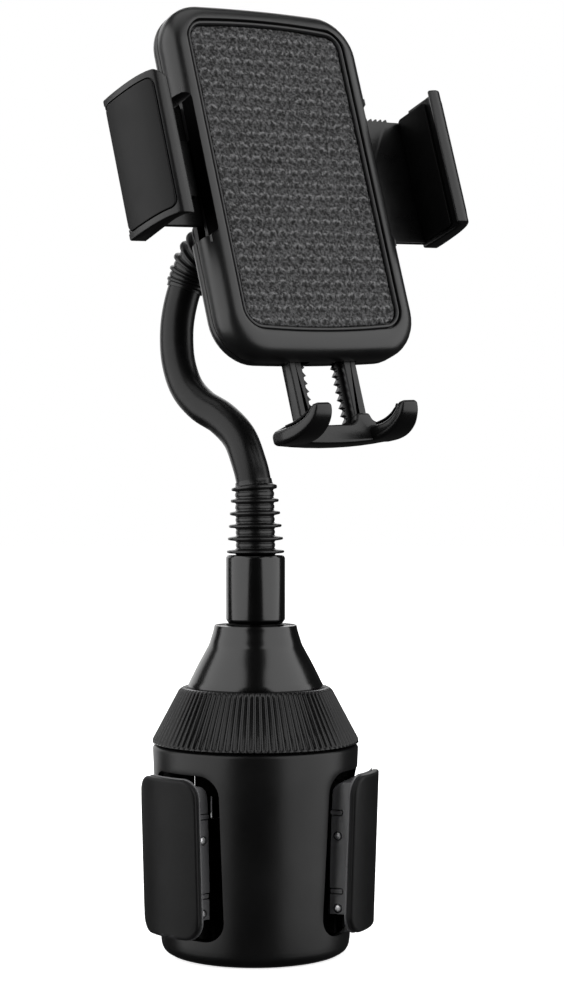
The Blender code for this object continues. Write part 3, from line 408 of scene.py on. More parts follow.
class Paint:
    """Builds one node material around a Principled shader."""

    def __init__(self, name):
        self.made = bpy.data.materials.new(name)
        self.made.use_nodes = True
        self.tree = self.made.node_tree
        self.place = self.add("TexCoord", {}, "Object")

    def feed(self, node, inputs):
        """Give sockets, found by name or place, their numbers or link them to other nodes' outputs."""
        for key, value in inputs.items():
            target = node.inputs[key] if isinstance(key, int) else usable(node.inputs, key)
            if isinstance(value, bpy.types.NodeSocket):
                self.tree.links.new(value, target)
            else:
                target.default_value = value

    def add(self, kind, inputs, output=None, **settings):
        """Add a node and return its named output, or its first one in use."""
        node = self.tree.nodes.new("ShaderNode" + kind)
        for name, value in settings.items():
            setattr(node, name, value)
        self.feed(node, inputs)
        return usable(node.outputs, output)

    def noise(self, grain_mm, detail=3.0, stretch=(1, 1, 1), roughness=0.55):
        mapped = self.add("Mapping", {"Scale": stretch, "Vector": self.place})
        size = {"Scale": 1000.0 / grain_mm, "Detail": detail, "Roughness": roughness}
        return self.add("TexNoise", {**size, "Vector": mapped}, "Fac")

    def spread(self, value, low, high, start=0.25, end=0.75):
        """Map start..end of a value onto low..high."""
        ends = {"From Min": start, "From Max": end, "To Min": low, "To Max": high}
        return self.add("MapRange", {**ends, "Value": value})

    def math(self, operation, a, b=0.0):
        return self.add("Math", {0: a, 1: b}, operation=operation)

    def times(self, a, b):
        return self.math("MULTIPLY", a, b)

    def lattice(self, to_frame, pitch):
        """Offsets in mm from the nearest point of a square lattice in another frame's x and z."""
        turn = {"Location": to_frame.translation, "Rotation": to_frame.to_euler("XYZ")}
        split = self.add("SeparateXYZ", {0: self.add("Mapping", {**turn, "Vector": self.place})})
        offsets = []
        for name, step in (("X", pitch[0]), ("Z", pitch[1])):
            cell = self.times(split.node.outputs[name], 1000.0 / step)
            share = self.math("SUBTRACT", self.math("FRACT", self.math("ADD", cell, 0.5)), 0.5)
            offsets.append(self.times(share, step))
        return offsets

    def mixed(self, share, a, b):
        """Blend from a to b; each is a colour or another node's output."""
        ends = {name: (*c, 1.0) if isinstance(c, tuple) else c for name, c in (("A", a), ("B", b))}
        return self.add("Mix", {"Factor": share, **ends}, data_type="RGBA")

    def bump(self, height, depth_mm, before=None):
        inputs = {"Strength": 1.0, "Distance": depth_mm * MM, "Height": height}
        return self.add("Bump", {**inputs, "Normal": before} if before else inputs)

    def edges(self, low=0.515, high=0.58):
        return self.spread(self.add("NewGeometry", {}, "Pointiness"), 0.0, 1.0, low, high)

    def finished(self, base, gloss, normal, specular=0.5, metallic=0.0):
        shown = {"Base Color": base, "Roughness": gloss, "Normal": normal}
        shader = self.tree.nodes["Principled BSDF"]
        self.feed(shader, {**shown, "Specular IOR Level": specular, "Metallic": metallic})
        return self.made


def usable(sockets, name=None):
    return next(s for s in sockets if s.enabled and name in (None, s.name))


def tinted(colour, factor):
    return tuple(min(1.0, c * factor) for c in colour)


def moulded(name, tone, roughness, grain, depth, cloud, shift, edge_wear_and_highlight, specular):
    """Moulded plastic or rubber: spark-eroded grain, cloudy gloss and lighter edges: faint rubbing on most
    pieces, a painted highlight on the side pads.
    """
    colour = (tone, tone, tone * 1.04)
    paint = Paint(name)
    clouds = paint.noise(cloud, 4.0)
    base = paint.mixed(paint.spread(clouds, 0.0, 1.0), tinted(colour, 0.86), tinted(colour, 1.14))
    # Convex edges lighter by a factor: faint rubbing, and on the side pads a painted highlight
    base = paint.mixed(paint.edges(), base, tinted(colour, edge_wear_and_highlight))
    fine = paint.noise(grain, 2.0)
    gloss = paint.spread(clouds, roughness - shift, roughness + shift)
    gloss = paint.math("ADD", gloss, paint.spread(fine, -0.03, 0.03))
    coarse = paint.bump(paint.noise(grain * 9, 2.0), depth * 2)
    return paint.finished(base, gloss, paint.bump(fine, depth, coarse), specular)


def metal(name, colour, roughness, stretch):
    """Drawn or turned metal with fine lines and slight tarnish."""
    paint = Paint(name)
    lines = paint.noise(0.5, 3.0, stretch)
    base = paint.mixed(paint.spread(paint.noise(5.0, 4.0), 0.0, 1.0), tinted(colour, 0.82), colour)
    gloss = paint.spread(lines, roughness - 0.06, roughness + 0.1)
    return paint.finished(base, gloss, paint.bump(lines, 0.006), metallic=1.0)


def grip_rubber(name):
    """Grained silicone: painted shade in the pits and creases, a painted highlight on the arch over each
    pit, and painted glints on the grain's raised flecks between them.
    """
    paint = Paint(name)
    dx, dz = paint.lattice(CRADLE.inverted(), SCALE_PITCH)
    reach = paint.math("ADD", paint.times(dx, dx), paint.times(dz, dz))
    reach = paint.math("SQRT", reach)
    # Painted highlight: a mask along the arch over each pit, on its upper side
    off_arch = paint.math("ABSOLUTE", paint.math("SUBTRACT", reach, ARCH_R))
    arch = paint.spread(off_arch, 1.0, 0.0, 0.1, 0.75)
    arch = paint.times(arch, paint.spread(dz, 0.0, 1.0, -0.1, 0.9))
    # Mask for the painted shade in each pit
    pit = paint.spread(reach, 1.0, 0.0, 0.2, 0.9)
    grain = paint.noise(0.95, 2.0, roughness=0.6)
    # Painted glints: the grain's raised flecks, from the same noise as its bump, are coloured lighter
    speckle = paint.spread(grain, 0.0, 1.0, 0.39, 0.63)
    base = paint.mixed(speckle, (0.003, 0.003, 0.0031), (0.08, 0.08, 0.082))
    # A lighter copy of the grain, painted on the arches as their highlight
    speckle = paint.spread(grain, 0.0, 1.0, 0.37, 0.6)
    lit = paint.mixed(speckle, (0.014, 0.014, 0.0143), (0.18, 0.18, 0.183))
    base = paint.mixed(paint.times(arch, 0.88), base, lit)
    # Painted shade in each pit
    base = paint.mixed(paint.times(pit, 0.82), base, (0.0015, 0.0015, 0.0015))
    # Painted shade in the creases, where pointiness is low
    base = paint.mixed(paint.edges(0.38, 0.52), (0.002, 0.002, 0.002), base)
    gloss = paint.spread(paint.noise(22.0, 3.0), 0.5, 0.6)
    gloss = paint.math("ADD", gloss, paint.spread(grain, -0.05, 0.05))
    fine = paint.bump(paint.noise(0.5, 3.0), 0.12)
    return paint.finished(base, gloss, paint.bump(grain, 0.3, fine), 0.2)


# Tone, roughness, grain size and depth, cloud size, shift of gloss, edge wear and painted edge highlight,
# and specular level
MOULDED = {
    "cup_plastic": (0.0025, 0.33, 0.3, 0.007, 18.0, 0.05, 1.8, 0.25),
    # The side pads' large edge factor paints a highlight along their rims
    "pad_rubber": (0.004, 0.44, 0.22, 0.012, 12.0, 0.05, 6.0, 0.12),
    "bracket_plastic": (0.085, 0.36, 0.4, 0.01, 8.0, 0.05, 1.3, 0.5),
    "ring_plastic": (0.0022, 0.24, 0.3, 0.008, 9.0, 0.05, 4.0, 0.24),
    "satin_plastic": (0.001, 0.19, 0.5, 0.002, 16.0, 0.03, 1.8, 0.46),
    "neck_rubber": (0.0025, 0.32, 0.3, 0.008, 10.0, 0.05, 1.8, 0.24),
    "boot_rubber": (0.002, 0.32, 0.25, 0.008, 7.0, 0.05, 3.0, 0.36),
    "case_plastic": (0.004, 0.33, 0.3, 0.006, 16.0, 0.05, 1.8, 0.42),
    "arm_plastic": (0.0025, 0.3, 0.3, 0.006, 12.0, 0.05, 1.8, 0.32),
    "cap_plastic": (0.0025, 0.35, 0.26, 0.01, 12.0, 0.05, 1.8, 0.14),
    "button_plastic": (0.012, 0.4, 0.25, 0.014, 6.0, 0.05, 1.8, 0.5),
    "jaw_rubber": (0.001, 0.55, 0.35, 0.02, 6.0, 0.05, 1.8, 0.08),
    "inner_plastic": (0.0012, 0.7, 0.5, 0.02, 8.0, 0.05, 1.8, 0.04),
    "nylon": (0.56, 0.42, 0.6, 0.02, 5.0, 0.05, 1.1, 0.5),
    # Finishes of single pieces that share a slot with others
    # Light tone that paints a highlight line round the edge of each side pad
    "highlight_backing": (0.07, 0.3, 0.3, 0.008, 8.0, 0.05, 1.8, 0.5),
    "bead": (0.01, 0.36, 0.3, 0.01, 12.0, 0.05, 1.8, 0.4),
    # Near-black and nearly without gloss: sheets that paint shade inside the cup, the brackets and the
    # case's notches
    "shade_lining": (0.0008, 0.8, 0.5, 0.02, 8.0, 0.05, 1.8, 0.02),
}
# Colour, roughness and the stretch of the fine lines
METALS = {
    "chrome_pin": ((0.92, 0.92, 0.93), 0.42, (1, 1, 1)),
    "steel": ((0.5, 0.5, 0.52), 0.3, (1, 1, 4)),
}


def look(slot):
    """The finish of a material slot, made once."""
    name = slot + "_look"
    if name in bpy.data.materials:
        return bpy.data.materials[name]
    if slot in METALS:
        return metal(name, *METALS[slot])
    return grip_rubber(name) if slot == "grip_rubber" else moulded(name, *MOULDED[slot])


# ---- objects

def linked(name, data):
    """A scene object that shows a mesh, lamp or camera."""
    obj = bpy.data.objects.new(name, data)
    bpy.context.scene.collection.objects.link(obj)
    return obj


def from_bmesh(name, bm):
    """An object with the given faces, pointing out."""
    bmesh.ops.recalc_face_normals(bm, faces=bm.faces)
    mesh = bpy.data.meshes.new(name)
    bm.to_mesh(mesh)
    bm.free()
    return linked(name, mesh)


def solid(name, shape):
    """An object with the shape as its mesh, in metres."""
    bm = bmesh.new()
    verts = [bm.verts.new(Vector(p) * MM) for p in shape[0]]
    for face in shape[1]:
        bm.faces.new([verts[i] for i in face])
    return from_bmesh(name, bm)


def settle(obj):
    """Make the modifiers' result the object's own mesh."""
    graph = bpy.context.evaluated_depsgraph_get()
    mesh = bpy.data.meshes.new_from_object(obj.evaluated_get(graph))
    obj.modifiers.clear()
    obj.data = mesh
    return obj


def combine(obj, operation, shapes):
    for shape in shapes:
        tool = solid("tool", shape)
        boolean = obj.modifiers.new(operation, "BOOLEAN")
        boolean.operation = operation
        boolean.solver = "EXACT"
        boolean.object = tool
        settle(obj)
        bpy.data.objects.remove(tool)
    return obj


def cut(obj, *shapes):
    return combine(obj, "DIFFERENCE", shapes)


def fuse(obj, *shapes):
    return combine(obj, "UNION", shapes)


def place(obj, body, slot, *nodes, at=None, sharp=SHARP, finish=None):
    """Give a finished piece its look, its place and its body, and hide the CAD nodes that it stands for."""
    if at is not None:
        obj.data.transform(at)
    obj.data.materials.clear()
    obj.data.materials.append(look(finish or slot))
    obj.data.shade_smooth()
    obj.data.set_sharp_from_angle(angle=sharp)
    if body:
        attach(obj, body)
    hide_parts(*nodes)
    return obj


def cradle_matrix():
    yaw = Matrix.Rotation(radians(CRADLE_YAW), 4, "Z")
    lean = Matrix.Rotation(radians(CRADLE_LEAN), 4, "X")
    roll = Matrix.Rotation(radians(CRADLE_ROLL), 4, "Y")
    return Matrix.Translation(Vector(CRADLE_AT) * MM) @ yaw @ lean @ roll


CRADLE = cradle_matrix()
BALL = CRADLE @ Matrix.Translation(Vector(BALL_AT) * MM)


# ---- base

def wing_turn(azimuth):
    return Matrix.Rotation(radians(azimuth - 90.0), 4, "Z")


def screw_points():
    angles = [radians(azimuth + 60.0) for azimuth in WING_AZIMUTHS]
    return [(SCREW_RING_R * sin(angle), -SCREW_RING_R * cos(angle)) for angle in angles]


def arc_points(cx, cz, radius, start, end, steps=6):
    """Points of an arc; angles in degrees, counter-clockwise from +x."""
    angles = [radians(start + (end - start) * i / steps) for i in range(steps + 1)]
    return [(cx + radius * cos(angle), cz + radius * sin(angle)) for angle in angles]


def make_cup():
    """Cup shell with a rounded foot, a rounded rim, three tall windows and its screw holes."""
    floor = 5.0
    rim = 1.5
    flare = CUP_R_TOP - CUP_R_BOTTOM
    profile = [(CUP_FOOT_R, 0.0), (27.6, 0.06)]
    profile += smoothed(((28.4, 0.3), (29.9, 1.3), (30.7, 2.9), (CUP_R_BOTTOM, floor)), 5)
    profile += [(CUP_R_BOTTOM + flare * i / 6, floor + (CUP_H - 7.0) * i / 6) for i in range(1, 6)]
    profile += arc_points(CUP_R_TOP - rim, CUP_H - rim, rim, 0, 80, 7)
    profile += [(CUP_R_TOP - CUP_WALL, CUP_H), (CUP_R_BOTTOM - CUP_WALL, floor), (20.0, floor)]
    profile += [(20.0, 2.8), (CUP_FOOT_R, 2.8)]
    cup = solid("cup_shell", turned([tuple(p) for p in profile], 144, closed=True))
    window = prism(rounded((-WINDOW_HALF, WINDOW_HALF), WINDOW_Z, 6.5, 8), "X", 22.0, 40.0)
    cut(cup, *[moved(window, wing_turn(a)) for a in WING_AZIMUTHS])
    cut(cup, *[rod(1.6, (x, y, 2.0), (x, y, 6.0), 16, 0.01) for x, y in screw_points()])
    place(cup, "base", "cup_plastic", "base_cup")


def cross_recess(size, depth, z):
    """Two crossed slots for a screwdriver, cut down from the height z towards -z or +z."""
    z = sorted((z, z + depth))
    return box((-size, size), (-0.42, 0.42), z), box((-0.42, 0.42), (-size, size), z)


def make_screw(name, head, recess):
    screw = solid(name, turned(head, 32))
    for slot in cross_recess(*recess):
        cut(screw, slot)
    return screw


def make_bottom():
    """Bottom cover with a shallow dish and three screws set into it."""
    high = 2.5
    disc_r = CUP_FOOT_R - 0.4
    profile = [(0, 0.35), (18.6, 0.35), (19.0, 0.1), (19.3, 0.0), (disc_r - 0.5, 0.0)]
    profile += [(disc_r, 0.4), (disc_r, high), (0, high)]
    cover = solid("bottom_plate", turned(profile, 96))
    for x, y in screw_points():
        for radius, ends, sides in ((3.1, (-1, 1.5), 32), (1.5, (1.0, 4), 24)):
            cut(cover, along([((x, y, z), (0, 0, 1), radius) for z in ends], sides))
    place(cover, "base", "cup_plastic", "base_bottom_cover")
    for number, (x, y) in enumerate(screw_points(), 1):
        head = [(0, 0.15), (2.0, 0.15), (2.45, 0.3), (2.6, 0.6), (2.6, 1.2)]
        head += [(1.2, 1.21), (1.2, 9.0), (0, 9.0)]
        screw = make_screw(f"bottom_screw_head_{number}", head, (1.5, 0.8, -0.1))
        screw.matrix_world = Matrix.Translation(Vector((x, y, 0)) * MM)
        place(screw, "base", "steel", f"bottom_screw_{number}")


def rib_wave(count, flat):
    """A wave of rounded ribs round a turn: 1 on a rib's top, 0 in the groove."""
    def wave(angle):
        t = abs((angle / (2 * pi) * count % 1.0) - 0.5) * 2
        t = max(0.0, min(1.0, (t - flat) / (1 - flat)))
        return 1 - t * t * (3 - 2 * t)
    return wave


def make_ring():
    """Conical adjusting ring with ribs that fade out at both rims, and a near-black skirt that paints the
    shade inside the cup.
    """
    depth = 0.85
    low, high = RING_Z
    profile = [(8.5, low), (28.4, low), (28.4, 65.4), (30.2, 65.4), (30.4, low), (RING_R[0] - 1.1, low)]
    profile += [(RING_R[0] - 0.5, low + 0.15), (RING_R[0] - depth, low + 0.5, 0.2)]
    for t, share in ((0.04, 0.7), (0.06, 1.0), (0.3, 1.0), (0.6, 1.0), (0.94, 1.0), (0.97, 0.7)):
        radius = RING_R[0] + (RING_R[1] - RING_R[0]) * t
        profile.append((radius - depth, low + (high - low) * t, share * depth))
    profile += [(RING_R[1] - 0.55, high - 0.15), (RING_R[1] - 0.9, high), (22.5, high), (22.15, high - 0.3)]
    profile += [(29.6, 71.4), (8.5, 71.4)]
    shape = turned(profile, RING_RIBS * 8, closed=True, wave=rib_wave(RING_RIBS, 0.12))
    ring = solid("ribbed_ring", shape)
    place(ring, "ring", "ring_plastic", "adjust_ring", sharp=radians(50))
    # The skirt is a near-black sheet that paints the shade inside the cup
    inner, outer = SKIRT_R
    start, end = SKIRT_LOW, low + 0.4
    profile = [(inner, start), (outer, start), (outer, end), (inner, end)]
    skirt = solid("ring_skirt", turned(profile, 96, closed=True))
    place(skirt, "ring", "ring_plastic", "adjust_ring", finish="shade_lining")


def make_cone():
    outline = ((22.15, 87.4), (19.0, 93.75), (16.3, 98.7), (15.3, 100.6))
    outline = smoothed(outline + ((14.65, 102.6), (13.95, 104.8), (13.6, 106.4)), 5)
    profile = [(0, 84.0), (21.8, 84.0), (22.1, 86.6)] + [tuple(p) for p in outline]
    profile += [(13.45, 106.85), (13.1, 107.0), (10.2, 107.0), (10.0, 106.8), (10.0, 105.5), (0, 105.5)]
    place(solid("cone_skin", turned(profile, 128)), "base", "satin_plastic", "neck_cone")
    low, high = FERRULE_Z
    foot = ((1.3, -1.5), (1.2, 0.05), (0.9, 0.2), (0.12, 1.3), (0, 1.7))
    rim = ((0, -0.9), (0.1, -0.6), (0.45, -0.12), (0.8, 0))
    profile = [(0, low - 1.5)] + [(FERRULE_R - r, low + z) for r, z in foot]
    profile += [(FERRULE_R - r, high + z) for r, z in rim]
    profile += [(6.6, high), (6.2, high - 0.4), (0, high - 0.4)]
    place(solid("ferrule", turned(profile, 96)), "base", "satin_plastic", "lower_ferrule")


def make_bracket(number, turn):
    """U-shaped bracket behind a pad, with two moulded slots and holes for its cross pins."""
    half = BRACKET_HALF_W
    radius = 4.0
    top = BRACKET_Z[1]
    outline = [(BRACKET_IN, BRACKET_Z[0]), (39.0, BRACKET_Z[0]), (39.0, top)]
    outline += arc_points(BRACKET_IN + radius, top - radius, radius, 90, 180)
    block = solid(f"bracket_{number}", sheared(soft_prism(outline, "Y", -half, half, 0.35, 0.0)))
    outer = PAD_R - PAD_THICK - 0.3
    arc = []
    for i in range(17):
        y = half + 2.0 - 2 * (half + 2.0) * i / 16
        arc.append((WING_OUT + sqrt(outer**2 - y**2), y))
    cut(block, sheared(prism(arc + [(45.0, -half - 2), (45.0, half + 2)], "Z", 5.0, 65.0)))
    cut(block, sheared(box((20.0, 34.2), (-6.7, 6.7), (10.0, 55.0))))
    for z in PIN_HEIGHTS.values():
        cut(block, rod(PIN_R + 0.3, (PIN_X, -12, z), (PIN_X, 12, z), 24, 0.01))
    for z in SLOT_HEIGHTS:
        slot = rounded((20.0, 32.4), (z - 1.05, z + 1.05), 0.8, 3)
        cut(block, prism(slot, "Y", -12, 12))
        for side in (-1, 1):
            web = box((28.1, 32.9), sorted((side * 6.75, side * 7.4)), (z - 1.3, z + 1.3))
            tab = rounded((28.1, 32.0), (z - 0.68, z + 0.68), 0.45, 3)
            fuse(block, web)
            fuse(block, prism(tab, "Y", *sorted((side * 7.2, side * 8.85))))
    place(block, f"wing_{number}", "bracket_plastic", f"wing_bracket_{number}", at=turn)
    # A near-black sheet across the bracket's inside paints the shade there
    shade_lining = solid(f"bracket_lining_{number}", box((27.5, 27.95), (-9.1, 9.1), (14.8, 56.5)))
    cut(shade_lining, box((27.0, 29.0), (-6.2, 6.2), (17.0, 54.0)))
    place(shade_lining, f"wing_{number}", "bracket_plastic", f"wing_bracket_{number}", at=turn, finish="shade_lining")


def pad_place(s):
    angle = s / PAD_R
    outward = (cos(angle), sin(angle))
    return (WING_OUT + PAD_R * outward[0], PAD_R * outward[1]), outward


def make_wings():
    for number, azimuth in enumerate(WING_AZIMUTHS, 1):
        turn = wing_turn(azimuth)
        body = f"wing_{number}"
        node = f"wing_pad_{number}"
        width = (-PAD_HALF, PAD_HALF)
        plate = curved_plate(pad_place, width, PAD_Z, PAD_CORNER, PAD_THICK - 0.75, 0.9)
        pad = solid(f"side_pad_{number}", sheared(plate))
        place(pad, body, "pad_rubber", node, at=turn, sharp=SHARP_PLATE)
        # A backing plate whose light tone paints a highlight line round the pad's edge
        width, z = grown(width, 0.3), grown(PAD_Z, 0.3)
        plate = curved_plate(pad_place, width, z, PAD_CORNER + 0.3, PAD_THICK, 0.3, 0.6 - PAD_THICK)
        highlight_backing = solid(f"pad_backing_{number}", sheared(plate))
        place(highlight_backing, body, "pad_rubber", node, at=turn, finish="highlight_backing")
        make_bracket(number, turn)
        for label, z in PIN_HEIGHTS.items():
            ends = [(PIN_X, y, z) for y in (-8.95, 8.95)]
            pin = solid(f"cross_pin_{label}_{number}", rod(PIN_R, *ends, 28, 0.45))
            place(pin, body, "chrome_pin", f"wing_pin_{label}_{number}", at=turn, sharp=SHARP_PLATE)


# ---- neck

class Route(Curve):
    """The neck's centre line, its lengths counted from where it passes a given height."""

    def __init__(self, points, start_z):
        super().__init__(points, 12)
        start = next(length for length, p in zip(self.lengths, self.points) if p.z >= start_z)
        self.lengths = [length - start for length in self.lengths]

    def ahead(self, length):
        return (self.at(length + 1.2) - self.at(length - 1.2)).normalized()


def sleeve(route, low, high, step, radius_at, sides):
    count = round((high - low) / step)
    lengths = [low + (high - low) * i / count for i in range(count + 1)]
    return along([(route.at(s), route.ahead(s), radius_at(s)) for s in lengths], sides)


def ribbed(ribs, valley, half):
    """Radius along a boot with thin flared ribs and a low swell between each two."""
    def radius_at(s):
        best = valley
        for length, radius in ribs:
            t = abs(s - length)
            flare = 0.5 * max(0.0, 1 - t / half) ** 2
            tip = max(0.0, 1 - (t / 0.66) ** 4) ** 0.5
            best = max(best, valley + (radius - valley) * max(flare, tip))
        for (before, _), (after, _) in zip(ribs, ribs[1:]):
            t = abs(s - (before + after) / 2) / 0.85
            best = max(best, valley + 0.42 * sqrt(max(0.0, 1 - t * t)))
        return best
    return radius_at


def make_neck():
    """Two ribbed boots, and a smooth sleeve in four pieces."""
    route = Route(NECK_ROUTE, NECK_START_Z)
    low = FERRULE_Z[1] - 0.3 - NECK_START_Z
    ribs = [(low + (1.2 if i == 0 else 1.35 + 4.15 * i), 9.45 - 0.39 * i) for i in range(6)]
    boot = sleeve(route, low, 37.4, 0.17, ribbed(ribs, 6.05, 2.0), 64)
    place(solid("lower_bellows", boot), "base", "boot_rubber", "lower_boot", sharp=radians(70))
    ribs = [(122.3 + 3.4 * i, 6.9 + 0.5 * i) for i in range(6)]
    boot = sleeve(route, 120.3, 139.4, 0.17, ribbed(ribs, 6.3, 1.7), 64)
    place(solid("upper_bellows", boot), "neck_5", "boot_rubber", "upper_boot", sharp=radians(70))
    for number, bend in enumerate(NECK_BENDS, 1):
        start, end = SKIN_CUTS[number - 1], SKIN_CUTS[number]
        skin = solid(f"neck_skin_{number}", sleeve(route, start, end, 0.7, lambda s: NECK_R, 48))
        nodes = [f"gooseneck_{number}"] + (["gooseneck_5"] if number == 4 else [])
        place(skin, None, "neck_rubber", *nodes)
        tuple(route.at(bend - BEND_SPREAD) * MM)
        tuple(route.at(bend + BEND_SPREAD) * MM)
        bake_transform(skin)


# ---- ball joint

def make_ball_joint():
    """Ball and stud, socket and ribbed lock nut, in the ball's own frame."""
    centre = BALL.translation / MM
    stud_end = Vector(NECK_ROUTE[-3])
    direction = BALL.to_3x3().transposed() @ (stud_end - centre).normalized()
    turn = Vector((0, 0, 1)).rotation_difference(direction).to_matrix().to_4x4()
    angles = [radians(a) for a in range(172, 27, -8)]
    profile = [(0, -BALL_R)] + [(BALL_R * sin(a), BALL_R * cos(a)) for a in angles]
    profile += [(3.7, 8.2), (3.6, 14.4), (4.2, 15.0), (6.7, 15.4), (7.4, 15.8), (7.6, 16.3)]
    profile += [(7.6, 18.6), (7.3, 19.0), (5.2, 19.0), (5.2, 22.0), (0, 22.0)]
    stud = solid("ball_and_stud", moved(turned(profile, 64), turn))
    place(stud, "neck_5", "satin_plastic", "ball_stud", at=BALL)
    bowl = [(BOWL_R * sin(radians(a)), BOWL_R * cos(radians(a))) for a in range(75, 181, 7)]
    bowl[-1] = (0, -BOWL_R)
    profile = [(0, -12.2), (16.8, -12.2), (17.0, -11.9), (17.0, -10.8), (16.6, -10.4)]
    profile += [(14.2, -10.4), (13.6, -9.8), (13.6, 2.6), (13.3, 2.95)] + bowl
    place(solid("socket_cup", turned(profile, 72, "Y")), "cradle", "case_plastic", "ball_socket", at=BALL)
    depth = 0.8
    profile = [(13.95, -8.2), (16.2, -8.2), (16.7, -7.9)]
    profile += [(16.9 - depth, -7.0, depth * 0.4), (17.3 - depth, -6.4, depth)]
    profile += [(17.3 - depth, 3.9, depth), (17.2 - depth, 4.6, depth * 0.4)]
    profile += [(16.4, 5.1), (15.6, 6.6), (15.0, 7.0), (10.7, 7.0), (10.2, 6.6), (10.0, 5.8)]
    profile += [(10.8, 3.9), (13.95, 3.4)]
    nut = turned(profile, NUT_RIBS * 9, "Y", closed=True, wave=rib_wave(NUT_RIBS, 0.15))
    place(solid("ribbed_nut", nut), "lock_nut", "ring_plastic", "lock_nut", at=BALL, sharp=radians(50))


# ---- cradle case

def case_outline(half_w, low, high, corner, arch, steps=10, pieces=14):
    """Rounded rectangle whose top and bottom edges swell by arch at their middle."""
    outline = []
    corners = rounded((-half_w, half_w), (low, high), corner, steps)
    for i, (a, b) in enumerate(zip(corners, corners[1:] + corners[:1])):
        outline.append(a)
        if (i + 1) % (steps + 1) == 0:
            shares = [k / pieces for k in range(1, pieces)]
            outline += [(a[0] + (b[0] - a[0]) * t, a[1] + (b[1] - a[1]) * t) for t in shares]
    swell = [arch * (1 - min(1.0, abs(x) / half_w) ** 2) for x, z in outline]
    return [(x, z + (rise if z > 0 else -rise)) for (x, z), rise in zip(outline, swell)]


def case_ring(depth, y):
    corner = max(2.0, CASE_CORNER - depth * 0.8)
    low, high = CASE_Z[0] + CASE_ARCH + depth, CASE_Z[1] - CASE_ARCH - depth
    outline = case_outline(CASE_HALF_W - depth, low, high, corner, CASE_ARCH)
    return [(x, y, z) for x, z in outline]


def grip_ring(grow, y):
    low, high = GRIP_Z[0] + GRIP_ARCH - grow, GRIP_Z[1] - GRIP_ARCH + grow
    outline = case_outline(GRIP_HALF_W + grow, low, high, GRIP_CORNER + grow, GRIP_ARCH)
    return [(x, y, z) for x, z in outline]


def notch_walls(low, high):
    """Walls that close the case behind its two side notches."""
    z = grown(NOTCH_Z, 2.2)
    return [box(on_side(s, NOTCH_IN - 2.2, CASE_HALF_W - 1.0), (low, high), z) for s in (-1, 1)]


def side_cuts():
    """Notches for the jaws, then the openings for the arms' plates, bosses and the foot's rails."""
    found = []
    for side in (-1, 1):
        outline = rounded(on_side(side, NOTCH_IN, 46.0), NOTCH_Z, 2.4, 5)
        found.append(prism(outline, "Y", -6.0, 20.0))
        z = (ARM_Z - PLATE_HALF_H - 0.5, ARM_Z + PLATE_HALF_H + 0.4)
        found.append(box(on_side(side, 31.0, 36.0), (PLATE_Y[0] - 0.3, 11.4), z))
        x = on_side(side, RAIL_X[0] - 3.2, RAIL_X[1] + 0.4)
        found.append(box(x, grown(RAIL_Y, 0.4), (-70.0, -58.0)))
    found.append(box((-36.1, -30.9), (5.5, 9.0), (ARM_Z - 9.9, ARM_Z + 9.9)))
    return found


def make_front_cover():
    """Front shell: a groove round the pad, a flat frame and a broad rounded edge down to the seam."""
    reach = 5.6
    drop = 6.0
    rings = [grip_ring(0.55, 1.6), grip_ring(0.55, -0.4), grip_ring(0.7, -0.8), grip_ring(1.1, CASE_FRONT)]
    for i in range(9):
        angle = pi / 2 * i / 8
        rings.append(case_ring(reach * (1 - sin(angle)), CASE_FRONT + drop * (1 - cos(angle))))
    lip = CASE_SEAM - 0.3
    last = ((0.0, CASE_SEAM - 0.7), (0.25, lip), (CASE_WALL, lip), (CASE_WALL + 0.4, 3.6))
    rings += [case_ring(*section) for section in last]
    cover = solid("case_front", loft(rings))
    fuse(cover, *notch_walls(1.0, lip))
    cut(cover, *side_cuts())
    place(cover, "cradle", "case_plastic", "front_cover", at=CRADLE)
    # Near-black sheets on the notch walls paint the shade behind the jaws
    for name, side in SIDES:
        x = on_side(side, NOTCH_IN - 0.05, NOTCH_IN + 0.25)
        shade_lining = solid(f"notch_lining_{name}", box(x, (-0.5, 5.3), (ARM_Z - 24.0, ARM_Z + 24.2)))
        place(shade_lining, "cradle", "case_plastic", "front_cover", at=CRADLE, finish="shade_lining")


def make_back_cover():
    """Back shell with a rounded edge, screw wells and the button's opening, and its two screws."""
    reach = 4.0
    drop = CASE_BACK - 9.4
    rings = [case_ring(CASE_WALL + 0.3, 11.5), case_ring(CASE_WALL, CASE_SEAM), case_ring(0.25, CASE_SEAM),
             case_ring(0.0, CASE_SEAM + 0.4)]
    for i in range(8):
        angle = pi / 2 * i / 7
        rings.append(case_ring(reach * (1 - cos(angle)), CASE_BACK - drop * (1 - sin(angle))))
    cover = solid("case_back", loft(rings))
    fuse(cover, *notch_walls(CASE_SEAM, 12.4))
    for x, z in CASE_SCREWS:
        fuse(cover, rod(3.0, (x, 12.0, z), (x, 4.2, z), 32, 0.01))
        cut(cover, rod(1.35, (x, 15.0, z), (x, 3.9, z), 24, 0.01))
        cut(cover, rod(2.7, (x, 15.0, z), (x, 11.9, z), 32, 0.01))
    cut(cover, *side_cuts())
    cut(cover, button_hole(0.35, 11.0, 15.0))
    place(cover, "cradle", "case_plastic", "back_cover", at=CRADLE)
    for number, (x, z) in enumerate(CASE_SCREWS, 1):
        head = [(0, 0), (1.9, 0), (2.3, -0.2), (2.4, -0.5), (2.4, -1.2)]
        head += [(1.05, -1.21), (1.05, -8.1), (0, -8.1)]
        screw = make_screw(f"case_screw_head_{number}", head, (1.4, -0.8, 0.1))
        at = Matrix.Translation(Vector((x, 13.4, z)) * MM) @ Matrix.Rotation(radians(-90), 4, "X")
        place(screw, "cradle", "steel", f"case_screw_{number}", at=CRADLE @ at)


